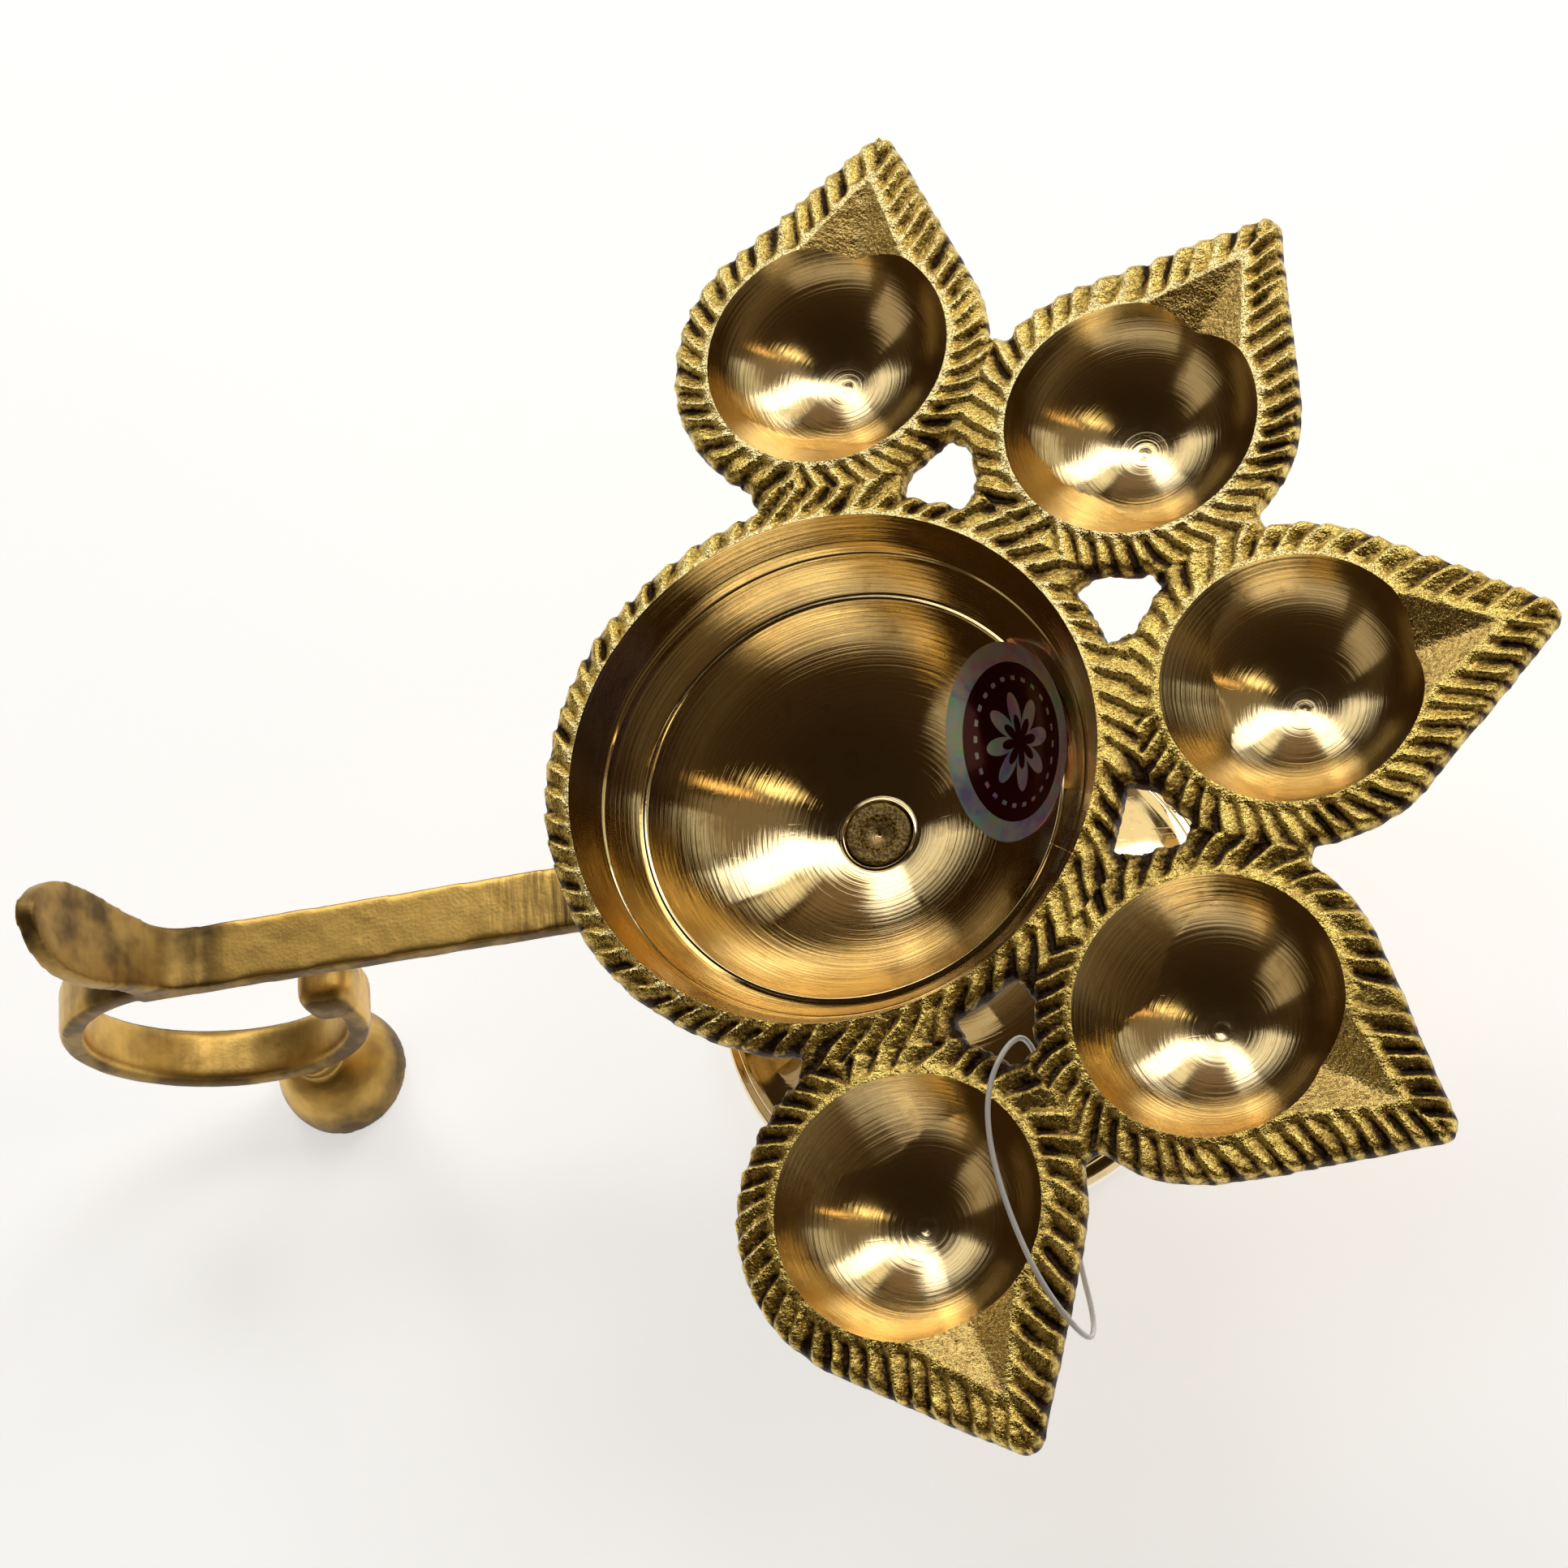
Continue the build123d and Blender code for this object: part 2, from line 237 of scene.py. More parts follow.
def ribs(points):
    """Rib height from -1 to 0, depth into a rib's hollow, and distance from the nearest mouth."""
    r = np.maximum(flat_r(points), 1.0)
    wander = 0.20 * noise(points, 5.0, 11) + 0.06 * noise(points, 1.8, 12)
    phase = BOWL_RIB_R * (flat_angle(points) + BOWL_LEAN * np.log(r / MOUTH_R)) / BOWL_PITCH
    best = 0.80 * np.maximum(r - MOUTH_R, 0)
    from_mouth = r - MOUTH_R
    land = np.full(len(points), 0.22)
    for k in CUPS:
        local = in_cup(points, k)
        along, off = leaf_border(local)
        pitch = np.where(local[:, 1] > 0, LEAF_PITCH[0], LEAF_PITCH[1])
        mine = off < best
        phase = np.where(mine, -(along + LEAF_LEAN * off) / pitch + 0.37 * k, phase)
        from_mouth = np.where(mine, off, from_mouth)
        land = np.where(mine, LAND, land)
        best = np.where(mine, off, best)
    part = (phase + wander) % 1.0
    wave = np.where(part < RIB_RISE, part / RIB_RISE, (1 - part) / (1 - RIB_RISE))
    depth = ramp(land - 0.2, land + 0.9, from_mouth + 0.3 * noise(points, 1.2, 13))
    depth = depth * (1 + 0.35 * noise(points, 3.1, 14))
    low = (1 - wave) ** RIB_PINCH * depth
    return -low, np.clip(low, 0, 1.2), from_mouth


def cup_rise(r):
    """Height of a turned cup at radius r, with the centre mark of the lathe."""
    rise = CUP_BALL_UP - np.sqrt(np.maximum(CUP_BALL_R**2 - r * r, 0.01))
    mark = -0.06 * np.exp(-((r / 0.36) ** 2)) + 0.018 * np.exp(-(((r - 0.9) / 0.22) ** 2))
    return rise + mark


def spout_rise(local):
    """Height of the two flat facets of a wick spout."""
    x, y = local.T
    valley = np.sqrt(y * y + 0.35**2) - 0.35
    return -SPOUT_DEEP * (1 - (x - SPOUT_BACK) / SPOUT_LONG - valley / SPOUT_HALF)


def wall_rise(r):
    """Height of the bowl's upper turned wall at radius r."""
    return (r - MOUTH_R) * STEP_A[2] / (MOUTH_R - STEP_A[0])


def top_rise(points):
    """Height of the rough cast top, without mouths and spouts."""
    height, _, from_mouth = ribs(points)
    skin = 0.055 * noise(points, 0.55, 21) + 0.045 * noise(points, 1.0, 22)
    skin *= ramp(0.05, 0.6, from_mouth)
    swell = 0.10 * noise(points, 7.0, 23) * ramp(0.0, 3.0, from_mouth)
    edge = np.clip(outline(points), -EDGE_WIDE, 0) + EDGE_WIDE
    round_off = EDGE_DROP * (1 - np.sqrt(np.clip(1 - (edge / EDGE_WIDE) ** 2, 0, 1)))
    return RIB_DEEP * height + skin + swell - round_off - CREST_DOWN


def surface(points):
    """Height and finish of the casting's whole top side."""
    rise = top_rise(points)
    r = flat_r(points)
    wall = np.where(r < MOUTH_R + 0.2, wall_rise(r), FAR)
    finish = np.where(wall < rise, TURNED, CAST)
    rise = np.minimum(rise, wall)
    for k in CUPS:
        local = in_cup(points, k)
        r = flat_r(local)
        facet = np.where((local[:, 0] > SPOUT_BACK) & (r < LEAF_TIP), spout_rise(local), FAR)
        facet = facet + 0.05 * noise(points, 1.1, 31) * (facet < 5)
        ball = np.where(r < CUP_R + 1e-4, cup_rise(r), FAR)
        finish = np.where((facet < rise) & (facet < ball), FACET, finish)
        finish = np.where((ball < rise) & (ball <= facet), TURNED, finish)
        rise = np.minimum(rise, np.minimum(facet, ball))
    return rise, finish


# ---- mesh tools

class Shell:
    """Points in millimetres and faces with a finish, welded into one mesh."""

    def __init__(self):
        self.points, self.faces, self.finishes, self.count = [], [], [], 0

    def add(self, points, faces, finish=CAST):
        self.points.append(np.asarray(points, float))
        self.faces += [tuple(int(v) + self.count for v in face) for face in faces]
        self.finishes += list(np.broadcast_to(finish, len(faces)))
        self.count += len(points)

    def turn(self, profile, count, finish=CAST, centre=(0.0, 0.0), flip=False):
        """Adds a turned profile, with its faces the other way round if flip is set."""
        points, faces = revolved(profile, count, centre)
        self.add(points, [face[::-1] for face in faces] if flip else faces, finish)

    def welded(self):
        points = np.concatenate(self.points)
        keys = np.round(points / 2e-4).astype(np.int64)
        _, first, where = np.unique(keys, axis=0, return_index=True, return_inverse=True)
        where = where.reshape(-1)
        faces, finishes = [], []
        for face, finish in zip(self.faces, self.finishes):
            ring = [int(where[v]) for v in face]
            ring = [v for n, v in enumerate(ring) if v != ring[n - 1]]
            if len(ring) > 2:
                faces.append(ring)
                finishes.append(int(finish))
        return points[first], faces, np.array(finishes)


class Plan:
    """Plan points with edges that their triangles keep."""

    def __init__(self):
        self.points, self.edges, self.count = [], [], 0

    def add(self, points, edges=()):
        self.points.append(points)
        self.edges += [(a + self.count, b + self.count) for a, b in edges]
        self.count += len(points)

    def add_loop(self, points):
        self.add(points, [(n, (n + 1) % len(points)) for n in range(len(points))])

    def triangles(self):
        """Points, Delaunay triangles and the triangles' middles."""
        corners = [Vector(p) for p in np.concatenate(self.points)]
        result = delaunay_2d_cdt(corners, self.edges, [], 0, 1e-6, False)
        points, faces = np.array([tuple(v) for v in result[0]]), np.array(result[2])
        return points, faces, points[faces].mean(1)


def add_object(name, data):
    thing = bpy.data.objects.new(name, data)
    bpy.context.scene.collection.objects.link(thing)
    return thing


def make_object(name, points, faces):
    mesh = bpy.data.meshes.new(name)
    mesh.from_pydata((np.asarray(points) * MM).tolist(), [], faces)
    mesh.validate()
    mesh.update()
    mesh.shade_smooth()
    return add_object(name, mesh)


def finished(thing, slot, *nodes):
    """Says which body a piece rides on and the CAD nodes that it replaces. The slot is not used."""
    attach(thing, BODY)
    if nodes:
        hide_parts(*nodes)
    return thing


def add_values(thing, name, values):
    layer = thing.data.attributes.new(name, "FLOAT", "POINT")
    layer.data.foreach_set("value", np.asarray(values, np.float32))


def read(items, key, width=1, kind=np.int32):
    """One property of every vertex, face or corner of a mesh."""
    flat = np.zeros(len(items) * width, kind)
    items.foreach_get(key, flat)
    return flat.reshape(-1, width) if width > 1 else flat


def points_and_normals(thing):
    """Vertices of an object's mesh in millimetres, and their normals."""
    vertices = thing.data.vertices
    return read(vertices, "co", 3, float) / MM, read(vertices, "normal", 3, float)


def set_points(thing, points):
    thing.data.vertices.foreach_set("co", (np.asarray(points) * MM).ravel())
    thing.data.update()


def sharp_between_finishes(thing):
    """Keeps the edge between a turned and a cast surface crisp."""
    mesh = thing.data
    kinds, edges = read(mesh.polygons, "material_index"), read(mesh.loops, "edge_index")
    turned = np.repeat(kinds == TURNED, read(mesh.polygons, "loop_total")).astype(int)
    low, high = np.ones(len(mesh.edges), int), np.zeros(len(mesh.edges), int)
    np.minimum.at(low, edges, turned)
    np.maximum.at(high, edges, turned)
    layer = mesh.attributes.new("sharp_edge", "BOOLEAN", "EDGE")
    layer.data.foreach_set("value", low != high)


def ring(radius, count, start=0.0):
    a = start + 2 * pi * np.arange(count) / count
    return np.c_[radius * np.cos(a), radius * np.sin(a)]


def contour_loops(field, xs, ys):
    """Closed loops where a gridded field changes sign."""
    inside = field < 0
    mixed = (inside[1:, :-1] != inside[:-1, :-1]) | (inside[:-1, 1:] != inside[:-1, :-1])
    mixed |= inside[1:, 1:] != inside[:-1, :-1]
    links = {}
    for i, j in np.argwhere(mixed):
        sides = ((i, j, 1, 0), (i + 1, j, 0, 1), (i, j + 1, 1, 0), (i, j, 0, 1))
        cut = [s for s in sides if inside[s[0], s[1]] != inside[s[0] + s[2], s[1] + s[3]]]
        for a, b in zip(cut[::2], cut[1::2]):
            links.setdefault(a, []).append(b)
            links.setdefault(b, []).append(a)
    loops = []
    while links:
        start = next(iter(links))
        path, here = [], start
        while here in links:
            onward = links.pop(here)
            path.append(here)
            here = next((side for side in onward if side in links), None)
        loops.append(np.array([crossing(field, xs, ys, *side) for side in path]))
    return loops


def crossing(field, xs, ys, i, j, di, dj):
    """Where the field is zero on one side of a grid cell."""
    a, b = field[i, j], field[i + di, j + dj]
    t = a / (a - b)
    return xs[i] + t * di * (xs[1] - xs[0]), ys[j] + t * dj * (ys[1] - ys[0])


def spaced_loop(loop, step):
    """The same closed loop with evenly spaced points."""
    closed = np.vstack([loop, loop[:1]])
    reach = np.concatenate([[0], np.cumsum(np.hypot(*np.diff(closed, axis=0).T))])
    at = np.linspace(0, reach[-1], max(8, round(reach[-1] / step)), endpoint=False)
    return np.c_[np.interp(at, reach, closed[:, 0]), np.interp(at, reach, closed[:, 1])]


def hex_grid(step):
    """Plan points on equal triangles, over the whole plan box."""
    rows = np.arange(PLAN_LOW[1], PLAN_HIGH[1], step * sqrt(0.75))
    out = []
    for n, y in enumerate(rows):
        xs = np.arange(PLAN_LOW[0] + (n % 2) * step / 2, PLAN_HIGH[0], step)
        out.append(np.c_[xs, np.full(len(xs), y)])
    return np.concatenate(out)


def strip(lower, upper, count):
    """Quads between two rings of points."""
    after = [(n + 1) % count for n in range(count)]
    return [(lower + n, lower + m, upper + m, upper + n) for n, m in enumerate(after)]


def revolved(profile, count, centre=(0.0, 0.0)):
    """Points and faces of a profile of (radius, height) turned about a vertical axis."""
    rings = [np.c_[ring(r, count) + centre, np.full(count, z)] for r, z in profile]
    faces = []
    for n in range(1, len(rings)):
        faces += strip((n - 1) * count, n * count, count)
    return np.concatenate(rings), faces


def corner_cut(profile, rounds=3):
    """Rounds an open profile's corners; a point given twice stays nearly sharp."""
    line = np.array(profile, float)
    for _ in range(rounds):
        near = line[:-1] * 0.75 + line[1:] * 0.25
        far = line[:-1] * 0.25 + line[1:] * 0.75
        line = np.vstack([line[:1], np.c_[near, far].reshape(-1, 2), line[-1:]])
    keep = np.concatenate([[True], np.hypot(*np.diff(line, axis=0).T) > 1e-3])
    return line[keep]


# ---- lamp casting

def outline_loops():
    """Outer outline and the holes of the casting, as loops of evenly spaced points."""
    xs, ys = (np.arange(PLAN_LOW[n], PLAN_HIGH[n], CONTOUR_STEP) for n in (0, 1))
    grid = np.stack(np.meshgrid(xs, ys, indexing="ij"), -1)
    field = outline(grid.reshape(-1, 2)).reshape(grid.shape[:2])
    loops = [spaced_loop(loop, EDGE_STEP) for loop in contour_loops(field, xs, ys) if len(loop) > 20]
    for _ in range(3):
        loops = [loop - outward(loop) * outline(loop)[:, None] * 0.8 for loop in loops]
    return [spaced_loop(loop, EDGE_STEP) for loop in loops]


def mouth_ring():
    """Edge where the bowl's turned wall cuts the ribbed top, with its scallops."""
    points = ring(MOUTH_R, MOUTH_COUNT)
    for _ in range(5):
        radius = MOUTH_R + top_rise(points) * (MOUTH_R - STEP_A[0]) / STEP_A[2]
        points = ring(1.0, MOUTH_COUNT) * radius[:, None]
    return points


def cup_points(k):
    """Plan points of one cup: rings of its ball, the mouth, and the edges of its spout."""
    arcs = np.arange(BALL_STEP, CUP_BALL_R * asin(CUP_R / CUP_BALL_R) - 0.3, BALL_STEP)
    radii = [0.0, 0.3, 0.5, 0.7, 0.85, 1.0, 1.15, 1.35, 1.7]        # close at the centre mark
    radii += [r for r in CUP_BALL_R * np.sin(arcs / CUP_BALL_R) if r > 2.0]
    counts = [int(np.clip(round(2 * pi * r / RING_STEP), 1, CUP_COUNT)) for r in radii]
    rings = [ring(r, count, 0.1 * n) for n, (r, count) in enumerate(zip(radii, counts))]
    local = np.concatenate(rings)
    plan = Plan()
    plan.add(local[spout_rise(local) - cup_rise(flat_r(local)) > 0.12])
    mouth = ring(CUP_R, CUP_COUNT)
    kept = np.flatnonzero((spout_rise(mouth) > 0.02) | (mouth[:, 0] < SPOUT_BACK))
    pairs = [(n, (n + 1) % len(kept)) for n in range(len(kept))]
    plan.add(mouth[kept], [(a, b) for a, b in pairs if (kept[b] - kept[a]) % CUP_COUNT == 1])
    for line in spout_creases():
        plan.add(line, [(n, n + 1) for n in range(len(line) - 1)])
    return turned_by(np.concatenate(plan.points), -SPOUT_AZ[k]) + cup_centre(k), plan.edges


def spout_creases():
    """Curves where the spout's facets meet the cup's ball, and the spout's straight edges."""
    half = radians(SPOUT_HALF_DEG)
    angles = np.radians(np.linspace(-SPOUT_HALF_DEG, SPOUT_HALF_DEG, 49))
    around = np.c_[np.cos(angles), np.sin(angles)]
    radii = np.full(len(angles), CUP_R)
    for _ in range(40):
        gap = cup_rise(radii) - spout_rise(around * radii[:, None])
        radii = np.clip(radii - 0.18 * gap, 12.0, CUP_R)
    out = [around * radii[:, None]]
    for side in (-1, 1):
        corner = np.array([[CUP_R * cos(half), side * CUP_R * sin(half)]])
        out.append(corner + (np.array([[SPOUT_APEX, 0.0]]) - corner) * np.linspace(0.02, 1, 30)[:, None])
    return out


def casting_top(loops):
    """Ribbed top, cups, spouts and the start of the bowl's wall, as one height field."""
    plan = Plan()
    for loop in loops:
        plan.add_loop(loop)
        normal = outward(loop)
        for inset, every in ((0.12, 1), (0.32, 2), (0.60, 2)):
            moved = loop[::every] - normal[::every] * inset
            plan.add(moved[outline(moved) < -0.6 * inset])
    edge = mouth_ring()
    plan.add_loop(edge)
    plan.add_loop(ring(WALL_R, BOWL_COUNT))
    plan.add(edge[::2] * (1 - 0.4 / MOUTH_R))
    for k in CUPS:
        plan.add(*cup_points(k))
    plan.add(field_points(edge))
    points, faces, middle = plan.triangles()
    beyond = flat_r(middle) > WALL_R * cos(pi / BOWL_COUNT)
    return points, faces[plain_inside(middle, loops) & beyond]


def field_points(edge):
    """Even points over the ribbed land between the mouths and the outline."""
    points = hex_grid(TOP_STEP)
    mouth_r = np.interp(flat_angle(points), flat_angle(edge), flat_r(edge), period=2 * pi)
    keep = (outline(points) < -0.72) & (flat_r(points) > mouth_r + 0.2)
    for k in CUPS:
        local = in_cup(points, k)
        along = (local[:, 0] > SPOUT_BACK) & (local[:, 0] < SPOUT_APEX)
        keep &= (flat_r(local) > CUP_R + 0.15) & ~(along & (np.abs(spout_rise(local)) < 0.07))
    points = points[keep]
    jitter = np.c_[noise(points, 0.2, 41), noise(points, 0.2, 42)]
    return points + 0.06 * TOP_STEP * jitter


def plain_inside(points, loops):
    """True for points inside the outer loop and outside the holes, by crossing count."""
    rows = np.zeros(len(points), bool)
    order = np.argsort(points[:, 1])
    ys = points[order, 1]
    for loop in loops:
        ahead = np.roll(loop, -1, axis=0)
        for (x0, y0), (x1, y1) in zip(loop, ahead):
            if y0 == y1:
                continue
            low, high = (y0, y1) if y0 < y1 else (y1, y0)
            hit = order[np.searchsorted(ys, low, "left"):np.searchsorted(ys, high, "left")]
            x = x0 + (points[hit, 1] - y0) * (x1 - x0) / (y1 - y0)
            rows[hit] ^= points[hit, 0] < x
    return rows


def edge_rows(loop, rises):
    """Rows of points from the top edge down to the underside, following the rounded edge."""
    normal = outward(loop)
    rows = []
    for part, inset in ((0.0, 0.0), (0.30, -0.10), (0.62, -0.04), (0.86, 0.16), (1.0, 0.55)):
        rise = rises + (-PLATE_T - rises) * part
        plan = loop - normal * inset
        rough = 0.06 * noise(np.c_[plan, rise], 0.9, 51) * sin(pi * part)
        rows.append(np.c_[plan + normal * rough[:, None], rise])
    return rows


def from_top(profile):
    """Profile with heights above the table instead of above the casting's flat top."""
    return [(r, RIM_Z + rise) for r, rise in profile]


def bowl_inside_profile():
    """Turned inside of the bowl from just under its edge to the spigot's hole."""
    (a_out, a_in, a_deep), (b_out, b_in, b_deep) = STEP_A, STEP_B
    line = [(WALL_R, wall_rise(WALL_R)), (28.4, wall_rise(28.4) - 0.04), (a_out + 0.06, 0.12 - a_deep)]
    line += [(a_out - 0.06, -a_deep - 0.02), (a_in + 0.06, -a_deep - 0.12), (a_in, -a_deep - 0.3)]
    line += [(26.85, -6.45), (26.25, -7.35), (25.4, -8.6), (b_out + 0.06, 0.12 - b_deep)]
    line += [(b_out - 0.06, -b_deep - 0.02), (b_in + 0.06, -b_deep - 0.10)]
    angles = np.linspace(asin((b_in - 0.05) / BALL_R), asin(4.5 / BALL_R), 36)
    line += [(BALL_R * sin(a), BALL_UP - BALL_R * cos(a)) for a in angles]
    line += [(4.35, -22.52), (4.22, -22.42), (4.1, -22.5), (4.02, -22.75)]
    return from_top(line + [(HUB_R, -22.9), (HUB_R, HUB_SEAM)])


def back_circle(k):
    """Centre, radius and point count of the circle where a round back meets the plate."""
    if k is None:
        rise = BACK_UP + PLATE_T
        return np.zeros(2), sqrt(BACK_R**2 - rise**2), 180
    rise = CUP_BALL_UP + PLATE_T
    return cup_centre(k), sqrt((CUP_BALL_R + CUP_WALL) ** 2 - rise**2), 96


def casting_back(shell, bottoms):
    """Underside of the plate between the outline and the round backs."""
    plan = Plan()
    circles = [back_circle(k) for k in BACKS]
    for loop in bottoms:
        plan.add_loop(loop[:, :2])
    for centre, radius, number in circles:
        plan.add_loop(ring(radius, number) + centre)
    points = hex_grid(BACK_STEP)
    keep = plain_outline(points) < -1.4
    for centre, radius, _ in circles:
        keep &= flat_r(points - centre) > radius + 0.5
    plan.add(points[keep])
    points, faces, middle = plan.triangles()
    keep = plain_inside(middle, [loop[:, :2] for loop in bottoms])
    for centre, radius, _ in circles:
        keep &= flat_r(middle - centre) > radius * 0.9995
    z = np.full(len(points), RIM_Z - PLATE_T)
    shell.add(np.c_[points, z], faces[keep][:, ::-1], BACK)
    for k in BACKS:
        add_back(shell, k)


def add_back(shell, k):
    """Round back of the bowl (k is None) or of cup k."""
    centre, radius, number = back_circle(k)
    if k is None:
        ball, up, last, rows = BACK_R, BACK_UP, BOSS_R + 1.0, 26
    else:
        ball, up, last, rows = CUP_BALL_R + CUP_WALL, CUP_BALL_UP, 0.35, 18
    angles = np.linspace(asin(radius / ball), asin(last / ball), rows)
    line = [(ball * sin(a), up - ball * cos(a)) for a in angles]
    line[0] = (radius, -PLATE_T)
    if k is None:
        low = -BOSS_DEPTH
        line += [(BOSS_R + 0.3, line[-1][1] - 0.35), (BOSS_R, low + 0.5), (BOSS_R - 0.4, low)]
        line += [(HUB_R + 0.5, low), (HUB_R, low + 0.4), (HUB_R, HUB_SEAM)]
    else:
        line.append((0.0, up - ball))
    shell.turn(from_top(line), number, BACK, centre, flip=True)


def lamp_casting():
    """The one brass casting: bowl, five wick cups, border and webs."""
    shell = Shell()
    loops = outline_loops()
    points, faces = casting_top(loops)
    rise, _ = surface(points)
    _, finish = surface(points[faces].mean(1))
    shell.add(np.c_[points, RIM_Z + rise], faces, finish)
    areas = [loop_area(loop) for loop in loops]
    bottoms = []
    for loop, area in zip(loops, areas):
        rows = edge_rows(loop, surface(loop)[0])
        bottoms.append(rows[-1])
        if area < 0:
            rows = [row[::-1] for row in rows]
        way = -1 if abs(area) < max(map(abs, areas)) - 1 else 1     # holes face inward
        for upper, lower in zip(rows, rows[1:]):
            both = np.vstack([lower, upper]) + [0, 0, RIM_Z]
            shell.add(both, [face[::way] for face in strip(0, len(upper), len(upper))])
    shell.turn(bowl_inside_profile(), BOWL_COUNT, TURNED)
    casting_back(shell, bottoms)
    points, faces, finishes = shell.welded()
    casting = make_object("lamp_casting", points, faces)
    casting.data.polygons.foreach_set("material_index", finishes)
    add_turning(casting, points)
    # one attribute: tarnish in the grooves plus painted shade over cups 4 and 5's side
    add_values(casting, "groove", tarnish_and_painted_shade(points))
    add_values(casting, "satin", ramp(32, 34, flat_r(points)))
    sharp_between_finishes(casting)
    return finished(casting, "cast_brass", "oil_bowl", *[f"wick_cup_{k + 1}" for k in CUPS])


def tarnish_and_painted_shade(points):
    """Darkness of the cast skin: tarnish in the grooves, darker by the holes and down the side walls, and
    painted shade over cups 4 and 5's side.
    """
    plan, r = points[:, :2], flat_r(points)
    near_hole = ramp(-3.2, -0.2, plain_outline(plan)) * ramp(47, 42, r)
    near_hole = near_hole * ramp(31, 34, r)
    sides = ramp(RIM_Z - 0.9, RIM_Z - 2.0, points[:, 2])
    # painted shade: the casting darkens towards cups 4 and 5, standing in for the light that falls more on
    # cups 1 and 2
    shaded_side = ramp(24, -38, np.degrees(flat_angle(plan))) * (plan[:, 0] > -12)
    return ribs(plan)[1] ** 2.3 + 0.35 * near_hole + 0.3 * sides + 0.24 * shaded_side


def loop_area(loop):
    ahead = np.roll(loop, -1, axis=0)
    return 0.5 * np.sum(loop[:, 0] * ahead[:, 1] - ahead[:, 0] * loop[:, 1])


def add_turning(thing, points):
    """Distance of every vertex from the axis on which its surface was turned."""
    radius = flat_r(points)
    for k in CUPS:
        from_cup = flat_r(points[:, :2] - cup_centre(k))
        radius = np.where(from_cup < LEAF_R, from_cup + 37.0 * (k + 1), radius)
    add_values(thing, "turn_radius", radius + points[:, 2])


# ---- handle, foot and pedestal

def recast(name, node, voxel, rounds):
    """The CAD node's shape with its corners softened, as a filed casting has them."""
    copy = add_object(name + "_blank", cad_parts[node].data.copy())
    remesh = copy.modifiers.new("remesh", "REMESH")
    remesh.mode = "VOXEL"
    remesh.voxel_size = voxel * MM
    soften = copy.modifiers.new("soften", "SMOOTH")
    soften.factor = 0.5
    soften.iterations = rounds
    graph = bpy.context.evaluated_depsgraph_get()
    mesh = bpy.data.meshes.new_from_object(copy.evaluated_get(graph))
    bpy.data.objects.remove(copy)
    mesh.name = name
    mesh.materials.clear()
    mesh.shade_smooth()
    return add_object(name, mesh)


def handle():
    """Bar, thumb rest and ring: file strokes and tarnish by the bowl, tarnish on the thumb rest, painted
    shade on the sides and undersides.
    """
    piece = recast("handle_casting", "handle", 0.36, 9)
    points, normals = points_and_normals(piece)
    x, z = points[:, 0], points[:, 2]
    strokes = noise(points[:, :2] * [1.0, 0.12], 0.9, 71)
    near_bowl = ramp(-54, -36, x) * ramp(-10, -14, x)
    flat_top = ramp(0.6, 0.95, normals[:, 2])
    push = 0.05 * strokes * near_bowl * flat_top
    push += 0.03 * noise(points, 2.2, 72) + 0.012 * noise(points, 0.8, 73)
    set_points(piece, points + normals * push[:, None])
    paddle = ramp(49.5, 52, z) * ramp(-80, -84, x)
    # painted shade: faces of the bar and ring turned sideways or down are darkened
    sides = ramp(0.35, 0.8, np.abs(normals[:, 1])) * (1 - paddle)
    below = ramp(0.1, 0.7, -normals[:, 2]) * (1 - paddle)
    face = paddle * ramp(0.3, 0.8, normals[:, 0])
    band = ramp(48.5, 44, z) * ramp(-66, -70, x)
    thumb = ramp(-79, -84, x) * ramp(45, 47, z)
    parts = [sides, 0.8 * below, 0.9 * face, 0.75 * near_bowl, 0.55 * band, 0.88 * thumb]
    add_values(piece, "dull", np.maximum.reduce(parts))
    add_values(piece, "filed", 0.08 + 0.92 * near_bowl * flat_top)
    return finished(piece, "filed_brass", "handle")


def ring_foot():
    piece = recast("ring_foot_casting", "ring_foot", 0.3, 6)
    points, normals = points_and_normals(piece)
    push = 0.04 * noise(points, 2.6, 75) + 0.012 * noise(points, 0.7, 76)
    push *= ramp(0.1, 0.6, points[:, 2])
    moved = points + normals * push[:, None]
    moved[:, 2] = np.maximum(moved[:, 2], 0.0)
    set_points(piece, moved)
    up = normals[:, 2]
    # painted shade: the foot darkens where its faces turn away from straight up; the 0.40 is its tarnish
    low = 0.35 * ramp(0.5, 0.1, up) + 0.20 * ramp(0.9, 0.4, up)
    add_values(piece, "dull", 0.40 + low)
    return finished(piece, "foot_brass", "ring_foot")


HOLLOW = ((30.6, 0.0), (29.6, 0.4), (20.8, 4.2), (13.6, 8.4), (9.4, 12.2), (6.2, 16.4), (4.5, 17.0),
          (0, 17.0))


